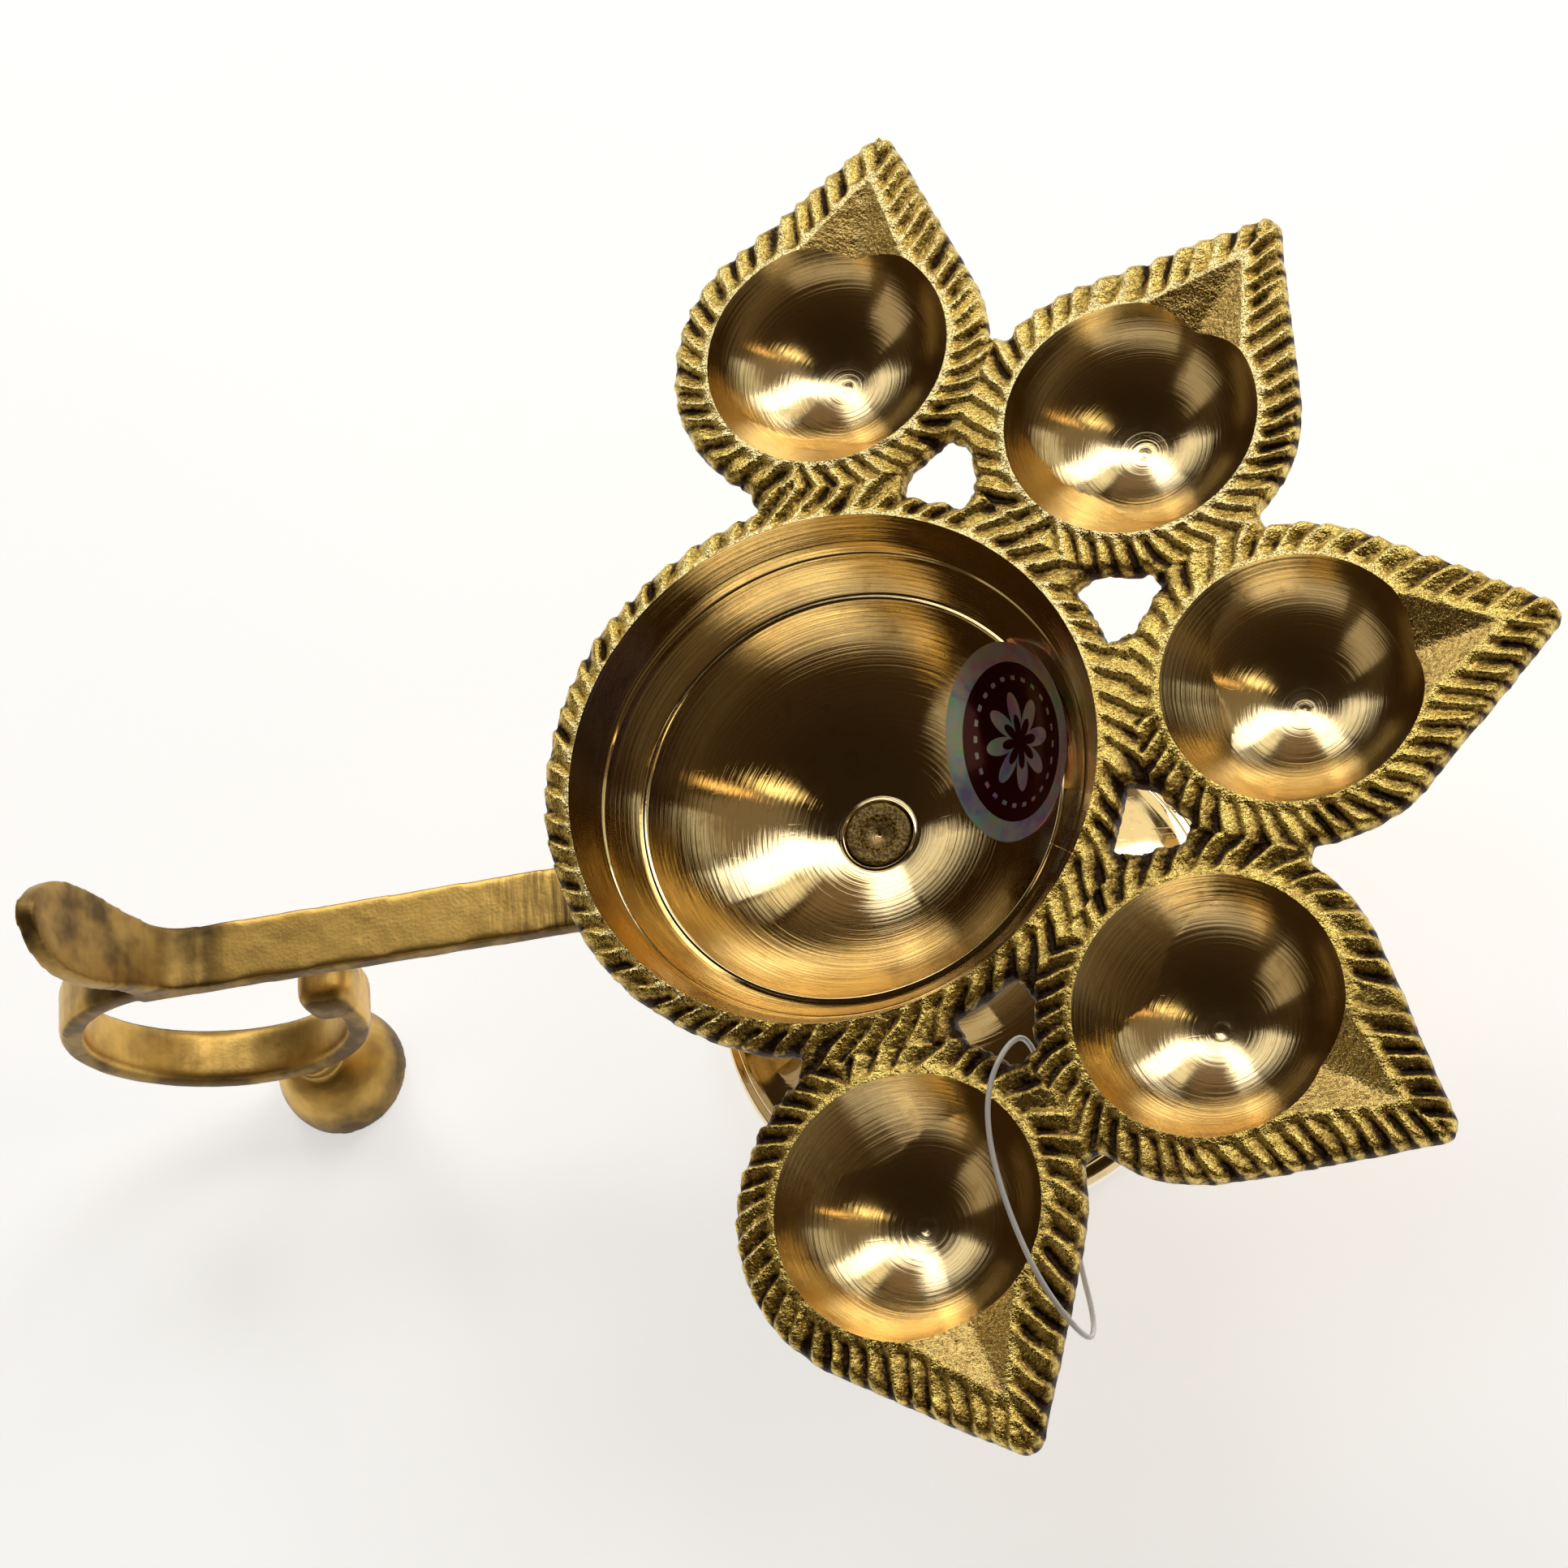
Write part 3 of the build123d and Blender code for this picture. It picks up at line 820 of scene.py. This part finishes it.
def pedestal_profile():
    """Pedestal from the inner edge of its foot up to the dished end of its spigot."""
    base_r, _, top_z = (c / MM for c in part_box("pedestal")[1])
    clamp_z = RIM_Z - BOSS_DEPTH - 2.4
    flare = [(30.6, 0.0), (31.0, 0.0), (base_r - 0.3, 0.0), (base_r, 0.3), (base_r, 1.5), (32.7, 2.3),
             (31.6, 2.7), (31.5, 3.3), (28.0, 4.1), (22.0, 6.4), (16.8, 9.2), (12.4, 13.2), (9.4, 17.4),
             (8.3, 19.3), (8.3, 19.4)]
    bead = [(8.4, 19.6), (10.1, 20.3), (10.6, 21.5), (10.1, 22.7), (7.6, 23.5), (7.4, 23.6), (7.4, 23.7)]
    knop = [(8.6, 24.9), (10.6, 27.0), (11.3, 29.6), (10.7, 32.2), (8.6, 34.4), (6.5, 35.4), (6.4, 35.5)]
    collar = [(6.4, 36.6), (6.5, 37.2), (8.0, 38.5), (10.0, 39.9), (10.2, 40.2), (10.2, 41.6), (10.2, 42.5)]
    clamp = [(10.1, clamp_z - 0.1), (9.8, clamp_z), (4.2, clamp_z), (3.8, clamp_z + 0.2)]
    spigot = [(3.8, top_z - 0.6), (3.8, top_z - 0.35), (3.7, top_z - 0.15)]
    spigot += [(r, top_z) for r in (3.5, 3.3, 3.1, 2.9, 2.7, 2.5, 2.3)]
    dish = [(r, top_z - 0.15 - 1.05 * (1 - r / 2.15)) for r in (2.12, 1.9, 1.6, 1.2, 0.8, 0.4)]
    turned = corner_cut(flare + bead + knop + collar, 2)
    return np.vstack([turned, clamp + spigot + dish + [(0.0, top_z - 1.15)]])


def pedestal():
    shell = Shell()
    outside = pedestal_profile()
    shell.turn(outside, PEDESTAL_COUNT)
    shell.turn(corner_cut(HOLLOW, 3), PEDESTAL_COUNT, flip=True)
    points, faces, _ = shell.welded()
    r, dish_z = flat_r(points), outside[-1][1]
    end = ramp(dish_z - 0.2, dish_z + 1.0, points[:, 2]) * (r < 4)
    torn = end * ramp(2.1, 2.4, r) * ramp(3.95, 3.6, r)
    points[:, 2] -= torn * (0.14 + 0.10 * noise(points, 0.42, 61) + 0.09 * noise(points, 0.24, 62))
    piece = make_object("pedestal_turned", points, faces)
    piece.data.set_sharp_from_angle(angle=radians(40))
    add_values(piece, "turn_radius", points[:, 2] + 0.35 * r)
    add_values(piece, "dirt", end - 0.18 * torn)
    return finished(piece, "turned_brass", "pedestal")


# ---- label and tag

LABEL_AZ, LABEL_POLAR = 14.5, 43.5
LABEL_SEMI = (11.4, 10.8)           # along the wall and up it
LABEL_RINGS, LABEL_COUNT = 26, 120
LABEL_LIFT, LABEL_THICK = 0.13, 0.06


def foil_label():
    """Oval foil sticker that follows the bowl's bottom and rides over its lower step."""
    a, p = radians(LABEL_AZ), radians(LABEL_POLAR)
    aim = np.array([sin(p) * cos(a), sin(p) * sin(a), -cos(p)])
    side = np.array([-sin(a), cos(a), 0.0])
    up = np.cross(aim, side)
    start = np.array([0.0, 0.0, RIM_Z + BALL_UP])
    rings = [ring(n / LABEL_RINGS, LABEL_COUNT) for n in range(1, LABEL_RINGS + 1)]
    disc = np.vstack([[[0.0, 0.0]], *rings])
    across, along = disc[:, 0] * LABEL_SEMI[0], disc[:, 1] * LABEL_SEMI[1]
    plane = start + np.outer(across, side) + np.outer(along, up)
    points = plane + aim * (np.sqrt(BALL_R**2 - (across**2 + along**2)) - LABEL_LIFT)[:, None]
    slack = 0.05 * noise(points, 6.0, 81) + 0.02 * noise(points, 2.0, 82)
    points = points - aim * (0.06 + slack)[:, None] * ramp(1.0, 0.7, flat_r(disc))[:, None]
    faces = [(0, 1 + n, 1 + (n + 1) % LABEL_COUNT) for n in range(LABEL_COUNT)]
    for n in range(LABEL_RINGS - 1):
        faces += strip(1 + n * LABEL_COUNT, 1 + (n + 1) * LABEL_COUNT, LABEL_COUNT)
    total = len(points)
    rim = total - LABEL_COUNT
    shell = Shell()
    both = np.vstack([points, points + aim * LABEL_THICK])
    shell.add(both, [face[::-1] for face in faces])
    shell.add(both, [tuple(v + total for v in face) for face in faces])
    shell.add(both, strip(rim, rim + total, LABEL_COUNT))
    points, faces, _ = shell.welded()
    piece = make_object("foil_label", points, faces)
    piece.data.set_sharp_from_angle(angle=radians(50))
    offset = points - start
    uv = np.c_[offset @ side / LABEL_SEMI[0], offset @ up / LABEL_SEMI[1]] * 0.5 + 0.5
    layer = piece.data.uv_layers.new(name="print")
    layer.data.foreach_set("uv", uv[read(piece.data.loops, "vertex_index")].ravel())
    return finished(piece, "foil_label", "oval_label")


def filament_route():
    """Loop of the tag filament, as in the CAD: up through the web's hole and round cup 5."""
    top, low = RIM_Z + 1.4, RIM_Z - PLATE_T - 3.4
    return [
        (19.4, -43.5, low), (18.9, -37.8, low), (18.2, -33.8, RIM_Z - 2.4), (16.6, -36.2, top + 0.4),
        (14.3, -40.6, top + 0.8), (13.9, -46.5, top + 1.0), (15.2, -54.2, top + 0.9),
        (17.8, -62.3, top + 0.6), (21.3, -67.9, RIM_Z - 1.6), (21.2, -64.3, low - 0.5),
        (20.3, -57.8, low - 0.3), (19.8, -51.2, low),
    ]


def tag_filament():
    route = filament_route()
    data = bpy.data.curves.new("nylon_filament", "CURVE")
    data.dimensions = "3D"
    data.resolution_u = 16
    data.bevel_depth = 1.0
    data.bevel_resolution = 4
    data.use_fill_caps = True
    spline = data.splines.new("NURBS")
    spline.points.add(len(route) - 1)
    for point, place in zip(spline.points, route):
        point.co = (*[c * MM for c in place], 1.0)
        point.radius = 0.3 * MM
    spline.order_u = 3
    spline.use_endpoint_u = True
    piece = add_object("nylon_filament", data)
    finished(piece, "nylon", "tag_filament")
    lock = tag_lock(route)
    return piece, lock


def tag_lock(route):
    """Small barrel that holds both ends of the filament."""
    first, last = Vector(route[0]), Vector(route[-1])
    axis = (first - last).normalized()
    profile = [(0, 0), (0.55, 0), (0.72, 0.15), (0.88, 0.5), (0.88, 2.6), (0.62, 2.9), (0.62, 2.9),
               (0.62, 4.8), (0.88, 5.1), (0.88, 7.2), (0.72, 7.6), (0.55, 7.7), (0, 7.7)]
    points, faces = revolved(corner_cut(profile, 2), 32)
    turn = axis.to_track_quat("Z", "Y").to_matrix()
    points = points * [1, 1, (first - last).length / profile[-1][1]]
    shell = Shell()
    shell.add(points @ np.array(turn).T + np.array(last), faces)
    points, faces, _ = shell.welded()
    return finished(make_object("filament_lock", points, faces), "nylon", "tag_lock")


# ---- materials

class Nodes:
    """Short way to write a material's nodes. A link is a pair of a node and its output."""

    def __init__(self, name):
        self.material = bpy.data.materials.new(name)
        self.material.use_nodes = True
        self.tree = self.material.node_tree
        self.tree.nodes.clear()
        output = self.new("OutputMaterial")
        self.shader = self.new("BsdfPrincipled")
        self.plug(output.inputs["Surface"], (self.shader, "BSDF"))
        self.place = self.vector("MULTIPLY", (self.new("TexCoord"), "Object"), (1 / MM,) * 3)

    def plug(self, socket, value):
        """Links a socket, or sets its own value."""
        if isinstance(value, tuple) and hasattr(value[0], "outputs"):
            self.tree.links.new(value[0].outputs[value[1]], socket)
        else:
            socket.default_value = (*value, 1.0)[:4] if socket.type == "RGBA" else value

    def new(self, kind, inputs=None, **settings):
        node = self.tree.nodes.new("ShaderNode" + kind)
        for key, value in settings.items():
            setattr(node, key, value)
        for key, value in (inputs or {}).items():
            self.plug(node.inputs[key], value)
        return node

    def vector(self, operation, a, b):
        return (self.new("VectorMath", {0: a, 1: b}, operation=operation), "Vector")

    def noise(self, size, detail=2.0, rough=0.5, stretch=None, seed=0.0):
        """Noise with features about size millimetres long."""
        vector = self.place
        if stretch:
            vector = self.vector("MULTIPLY", vector, stretch)
        if seed:
            vector = self.vector("ADD", vector, (seed,) * 3)
        inputs = {"Vector": vector, "Scale": 1.0 / size, "Detail": detail, "Roughness": rough}
        return (self.new("TexNoise", inputs), "Fac")

    def line_noise(self, along, scale, detail, rough=0.5):
        inputs = {"W": along, "Scale": scale, "Detail": detail, "Roughness": rough}
        return (self.new("TexNoise", inputs, noise_dimensions="1D"), "Fac")

    def value(self, name):
        return (self.new("Attribute", attribute_name=name), "Fac")

    def maths(self, operation, a, b=0.5):
        return (self.new("Math", {0: a, 1: b}, operation=operation), "Value")

    def add(self, a, b):
        return self.maths("ADD", a, b)

    def times(self, a, b):
        return self.maths("MULTIPLY", a, b)

    def spread(self, value, low, high, new_low=0.0, new_high=1.0):
        inputs = {"Value": value, "From Min": low, "From Max": high, "To Min": new_low, "To Max": new_high}
        return (self.new("MapRange", inputs), "Result")

    def mix(self, factor, a, b):
        """Colour between a and b. These are the sockets of a colour mix."""
        return (self.new("Mix", {0: factor, 6: a, 7: b}, data_type="RGBA"), 2)

    def blend(self, value, low, high, a, b):
        """Colour a below low and colour b above high."""
        return self.mix(self.spread(value, low, high), a, b)

    def finish(self, colour, roughness, bumps=(), **constants):
        """Ends a material. Each bump is a height, its size in millimetres and its strength."""
        inputs = {"Base Color": colour, "Roughness": roughness}
        under = {}
        for height, size, strength in bumps:
            bump = self.new("Bump", {"Height": height, "Distance": size * MM, "Strength": strength, **under})
            under = {"Normal": (bump, "Normal")}
        for key, value in {**inputs, **under, **constants}.items():
            self.plug(self.shader.inputs[key.replace("_", " ")], value)
        return self.material


def cast_brass():
    """Rough cast ribs: bright crests painted pale as a highlight, pale painted glints, brown and black
    grooves, grainy skin, painted shade over cups 4 and 5's side.
    """
    n = Nodes("cast_brass_ribs")
    # the casting's darkness: tarnish in the grooves, plus painted shade over cups 4 and 5's side
    groove = n.value("groove")
    patch = n.noise(5.0, 3.0, 0.6)
    grain = n.noise(0.55, 3.0, 0.65)
    fine = n.noise(0.26, 2.0, 0.6, seed=7.0)
    dirt = n.add(groove, n.spread(grain, 0.35, 0.7, -0.22, 0.26))
    dirt = n.add(dirt, n.spread(patch, 0.35, 0.65, -0.12, 0.18))
    gold = n.blend(patch, 0.35, 0.65, (0.93, 0.71, 0.19), (0.84, 0.62, 0.17))
    # painted glints: pale flecks where the fine noise is high stand in for sparkle
    gold = n.blend(fine, 0.58, 0.74, gold, (0.98, 0.83, 0.40))
    # painted highlight: the rib crests are painted pale
    gold = n.mix(n.spread(groove, 0.0, 0.05, 0.7, 0.0), gold, (1.0, 0.86, 0.46))
    gold = n.blend(fine, 0.46, 0.34, gold, (0.40, 0.26, 0.07))
    # olive and black by dirt: tarnish and random tone, with the painted shade over cups 4 and 5's side
    olive = n.blend(dirt, 0.14, 0.62, gold, (0.38, 0.25, 0.06))
    colour = n.blend(dirt, 0.55, 0.92, olive, (0.040, 0.024, 0.013))
    rough = n.add(n.spread(dirt, 0.1, 0.9, 0.17, 0.40), n.spread(fine, 0.3, 0.7, -0.05, 0.06))
    return n.finish(colour, rough, [(grain, 0.22, 0.9), (fine, 0.07, 0.9)], Metallic=1.0)


def turned_brass(name):
    """Lathe-turned mirror brass with fine concentric lines, smears, scratches and a dirty end."""
    n = Nodes(name)
    radius, satin, dirt = n.value("turn_radius"), n.value("satin"), n.value("dirt")
    wide = n.line_noise(radius, 1.25, 1.0)
    lines = n.line_noise(radius, 5.5, 3.0, 0.65)
    cloud = n.noise(9.0)
    smear = n.noise(2.2, 3.0, 0.6, seed=3.0)
    scratch = n.noise(0.5, stretch=(0.08, 1.0, 0.4), seed=11.0)
    grit = n.noise(0.34, 3.0, 0.65, seed=13.0)
    feed = n.maths("SINE", n.add(n.times(radius, 7.3), n.times(wide, 5.0)))
    warm = n.blend(cloud, 0.35, 0.65, (0.91, 0.74, 0.43), (0.87, 0.68, 0.35))
    tarnish = n.add(n.spread(smear, 0.55, 0.80, 0.0, 0.5), n.spread(lines, 0.62, 0.85, 0.0, 0.35))
    colour = n.mix(tarnish, warm, (0.58, 0.34, 0.12))
    worn = n.blend(grit, 0.44, 0.64, (0.06, 0.028, 0.009), (0.56, 0.38, 0.08))
    colour = n.mix(dirt, colour, worn)
    rough = n.add(n.spread(lines, 0.35, 0.7, 0.03, 0.10), n.spread(smear, 0.45, 0.8, 0.0, 0.07))
    rough = n.add(n.add(rough, n.times(dirt, 0.46)), n.times(satin, 0.06))
    bumps = [(wide, 0.010, 1.0), (feed, 0.0022, 1.0), (lines, 0.0095, 1.0)]
    bumps += [(n.times(grit, dirt), 0.30, 1.0), (n.spread(scratch, 0.66, 0.74), 0.005, 0.5)]
    return n.finish(colour, rough, bumps, Metallic=1.0)


def facet_brass():
    """Cast facets of the wick spouts: pale, finely pitted."""
    n = Nodes("cast_brass_facets")
    grain = n.noise(0.5, 3.0, 0.65, seed=5.0)
    patch = n.noise(2.6)
    gold = n.blend(patch, 0.35, 0.65, (0.78, 0.57, 0.20), (0.64, 0.45, 0.14))
    colour = n.blend(grain, 0.50, 0.72, gold, (0.22, 0.13, 0.035))
    return n.finish(colour, n.spread(grain, 0.3, 0.7, 0.17, 0.30), [(grain, 0.22, 0.9)], Metallic=1.0)


def back_brass():
    """Unturned underside, smoother than the ribs but matte and darker."""
    n = Nodes("cast_brass_back")
    grain = n.noise(0.7, 4.0, 0.6, seed=9.0)
    patch = n.noise(8.0, 3.0, 0.6)
    gold = n.blend(patch, 0.3, 0.7, (0.66, 0.45, 0.16), (0.48, 0.31, 0.11))
    colour = n.blend(grain, 0.55, 0.8, gold, (0.24, 0.14, 0.05))
    return n.finish(colour, n.spread(patch, 0.3, 0.7, 0.34, 0.48), [(grain, 0.14, 0.6)], Metallic=1.0)


def filed_brass(name, seed=0.0):
    """Hand-filed casting: cross-wise strokes, golden, going olive and brown where tarnished, and painted
    shade on faces turned sideways or down.
    """
    n = Nodes(name)
    dull, filed = n.value("dull"), n.value("filed")
    strokes = n.noise(0.6, 3.0, 0.6, stretch=(1.0, 0.07, 0.25), seed=2.0 + seed)
    broad = n.noise(7.0, 3.0, 0.6, seed=seed)
    grain = n.noise(0.4, seed=4.0)
    gold = n.blend(broad, 0.35, 0.65, (0.95, 0.61, 0.165), (0.88, 0.55, 0.145))
    gold = n.mix(n.times(n.spread(strokes, 0.5, 0.8, 0.0, 0.8), filed), gold, (0.33, 0.22, 0.09))
    # tarnish with painted shade from the piece's mask, plus file strokes and broad random tone
    tarnish_shade_mix = n.add(n.times(dull, 0.9), n.times(n.spread(strokes, 0.4, 0.7, -0.2, 0.3), filed))
    tarnish_shade_mix = n.add(tarnish_shade_mix, n.spread(broad, 0.4, 0.68, -0.12, 0.18))
    colour = n.blend(tarnish_shade_mix, 0.2, 0.95, gold, (0.135, 0.085, 0.034))
    rough = n.add(n.spread(strokes, 0.3, 0.7, 0.35, 0.38), n.spread(tarnish_shade_mix, 0.2, 0.9, 0.0, 0.12))
    bumps = [(n.times(strokes, filed), 0.09, 0.8), (grain, 0.035, 0.6)]
    return n.finish(colour, rough, bumps, Metallic=1.0)


def foil():
    """Silver holographic rim, dark red oval and a plain silver rosette in the middle."""
    n = Nodes("holographic_foil")
    centred = n.vector("SUBTRACT", (n.new("UVMap", uv_map="print"), "UV"), (0.5, 0.5, 0.0))
    scaled = n.vector("MULTIPLY", centred, (2.0, 2.0, 0.0))
    radius = (n.new("VectorMath", {0: scaled}, operation="LENGTH"), "Value")
    parts = n.new("SeparateXYZ", {0: scaled})
    angle = n.maths("ARCTAN2", (parts, "Y"), (parts, "X"))
    petals = n.maths("ABSOLUTE", n.maths("SINE", n.times(angle, 4.0)))
    petal_edge = n.spread(petals, 0.0, 1.0, 0.20, 0.50)
    hollow = n.maths("GREATER_THAN", radius, n.times(petal_edge, 0.55))
    rosette = n.times(n.maths("LESS_THAN", radius, petal_edge), hollow)
    dots = n.maths("GREATER_THAN", n.maths("SINE", n.times(angle, 24.0)), 0.3)
    band = n.maths("LESS_THAN", n.maths("ABSOLUTE", n.maths("SUBTRACT", radius, 0.64)), 0.022)
    motif = n.maths("MAXIMUM", rosette, n.times(dots, band))
    hue = n.add(n.times(n.noise(4.5), 1.6), n.times((parts, "Y"), 0.35))
    rainbow = n.new("CombineColor", {0: n.maths("FRACT", hue), 1: 0.55, 2: 0.75}, mode="HSV")
    glitter = n.spread(n.noise(1.8, seed=6.0), 0.4, 0.65)
    silver = n.mix(glitter, (0.62, 0.61, 0.64), (rainbow, "Color"))
    metal = n.maths("MAXIMUM", n.maths("GREATER_THAN", radius, 0.80), motif)
    colour = n.mix(metal, (0.075, 0.004, 0.008), silver)
    ridges = (n.new("TexWave", {"Vector": scaled, "Scale": 26.0, "Distortion": 0.4}), "Fac")
    return n.finish(colour, n.spread(metal, 0.0, 1.0, 0.10, 0.26), [(ridges, 0.004, 0.5)],
                    Metallic=0.75, Coat_Weight=0.5, Coat_Roughness=0.08)


def nylon():
    n = Nodes("clear_nylon")
    haze = n.noise(1.4)
    colour = n.mix(haze, (0.92, 0.92, 0.90), (0.78, 0.79, 0.80))
    return n.finish(colour, n.spread(haze, 0.3, 0.7, 0.12, 0.22), [(n.noise(0.5), 0.01, 0.3)],
                    Transmission_Weight=0.35, IOR=1.53)


def floor_paint():
    n = Nodes("pale_floor")
    haze = n.noise(60.0, 3.0, 0.5)
    colour = n.blend(haze, 0.3, 0.7, (0.90, 0.90, 0.895), (0.885, 0.885, 0.88))
    return n.finish(colour, 0.85, Emission_Color=(0.97, 0.985, 1.0), Emission_Strength=0.60)


# ---- stage, light and camera

FLOOR_HALF = 4000.0
SOFTBOX_FAR = 1.1                   # metres from the lamp
SKY_STOPS = ((0.0, (0.27, 0.23, 0.17, 1)), (0.16, (0.13, 0.095, 0.05, 1)),
             (0.42, (0.045, 0.026, 0.011, 1)), (0.9, (0.022, 0.013, 0.006, 1)))


def floor():
    size = FLOOR_HALF
    corners = [(-size, -size, 0), (size, -size, 0), (size, size, 0), (-size, size, 0)]
    thing = make_object("studio_floor", corners, [(0, 1, 2, 3)])
    thing.data.materials.append(floor_paint())


def softbox(name, azimuth, elevation, width, height, radiance, colour=(1.0, 1.0, 1.0)):
    """Rectangular light aimed at the lamp, placed by its direction from the lamp."""
    a, e = radians(azimuth), radians(elevation)
    toward = Vector((cos(a) * cos(e), sin(a) * cos(e), sin(e)))
    data = bpy.data.lights.new(name, "AREA")
    data.shape = "RECTANGLE"
    data.size, data.size_y = width, height
    data.energy = radiance * pi * width * height
    data.color = colour
    light = add_object(name, data)
    light.location = toward * SOFTBOX_FAR + Vector((0, 0, RIM_Z * MM))
    light.rotation_mode = "QUATERNION"
    light.rotation_quaternion = toward.to_track_quat("Z", "Y")
    light.visible_camera = False


def lights():
    """A bright opening with a dim middle, a cream panel beside it, and small warm lamps."""
    softbox("opening_left", 46, 37, 0.29, 0.93, 2.9)
    softbox("opening_top", 80, 59, 0.57, 0.27, 2.9)
    softbox("opening_right", 108, 35, 0.25, 0.84, 2.6)
    softbox("opening_foot", 62, 16, 0.30, 0.12, 2.9)
    softbox("opening_glow", 62, 34, 0.20, 0.47, 1.0, (1.0, 0.92, 0.70))
    softbox("opening_middle", 86, 34, 0.46, 0.72, 0.16, (1.0, 0.70, 0.45))
    softbox("cream_panel", 131, 32, 0.48, 0.51, 1.0, (1.0, 0.97, 0.86))
    softbox("side_wall", 18, 43, 0.51, 0.89, 0.17, (1.0, 0.80, 0.52))
    softbox("side_low", 24, 16, 0.49, 0.29, 0.65, (1.0, 0.97, 0.78))
    softbox("warm_lamp", -6, 58, 0.10, 0.34, 2.8, (1.0, 0.80, 0.42))
    softbox("warm_string", -2, 34, 0.055, 0.46, 1.8, (1.0, 0.64, 0.24))
    softbox("front_low", -106, 15, 1.50, 0.27, 0.45, (1.0, 0.90, 0.70))
    softbox("back_low", 188, 27, 0.62, 0.60, 0.34, (1.0, 0.86, 0.62))


def sky():
    """Dim warm room: brighter at the horizon, dark overhead."""
    world = bpy.data.worlds.new("studio")
    bpy.context.scene.world = world
    world.use_nodes = True
    tree = world.node_tree
    tree.nodes.clear()
    kinds = ("TexCoord", "SeparateXYZ", "ValToRGB", "Background", "OutputWorld")
    nodes = [tree.nodes.new("ShaderNode" + kind) for kind in kinds]
    for before, after, out in zip(nodes, nodes[1:], ("Generated", "Z", 0, 0)):
        tree.links.new(before.outputs[out], after.inputs[0])
    stops = nodes[2].color_ramp.elements
    for n, (place, colour) in enumerate(SKY_STOPS):
        stop = stops[n] if n < 2 else stops.new(place)      # a ramp starts with two stops
        stop.position, stop.color = place, colour


def camera():
    """The photograph's viewpoint: 27 degrees round from the front and 63 above the table."""
    data = bpy.data.cameras.new("camera")
    data.sensor_width = 36.0
    data.lens = 80.64
    data.clip_start, data.clip_end = 0.02, 20.0
    thing = add_object("camera", data)
    thing.location = (0.08041, -0.15419, 0.41268)
    right, up = (0.958786, -0.076406, -0.273664), (0.176671, 0.914648, 0.363602)
    back = (0.222525, -0.396965, 0.89045)
    thing.rotation_euler = Matrix((right, up, back)).transposed().to_euler()
    bpy.context.scene.camera = thing


def picture():
    view = bpy.context.scene.view_settings
    view.view_transform = "Standard"
    view.exposure = 0.0


def dress(thing, *materials):
    """Gives a piece its materials. The faces of a mesh keep the numbers of their finishes."""
    data = thing.data
    kinds = read(data.polygons, "material_index") if thing.type == "MESH" else None
    data.materials.clear()
    for material in materials:
        data.materials.append(material)
    if kinds is not None:
        data.polygons.foreach_set("material_index", kinds)


camera()
picture()
filament, lock = tag_filament()
dress(filament, nylon())
dress(lock, nylon())
dress(lamp_casting(), cast_brass(), turned_brass("turned_brass_inside"), facet_brass(), back_brass())
dress(handle(), filed_brass("filed_brass_handle"))
dress(ring_foot(), filed_brass("filed_brass_foot", 3.0))
dress(pedestal(), turned_brass("turned_brass_pedestal"))
dress(foil_label(), foil())
floor()
lights()
sky()

bpy.context.view_layer.update()
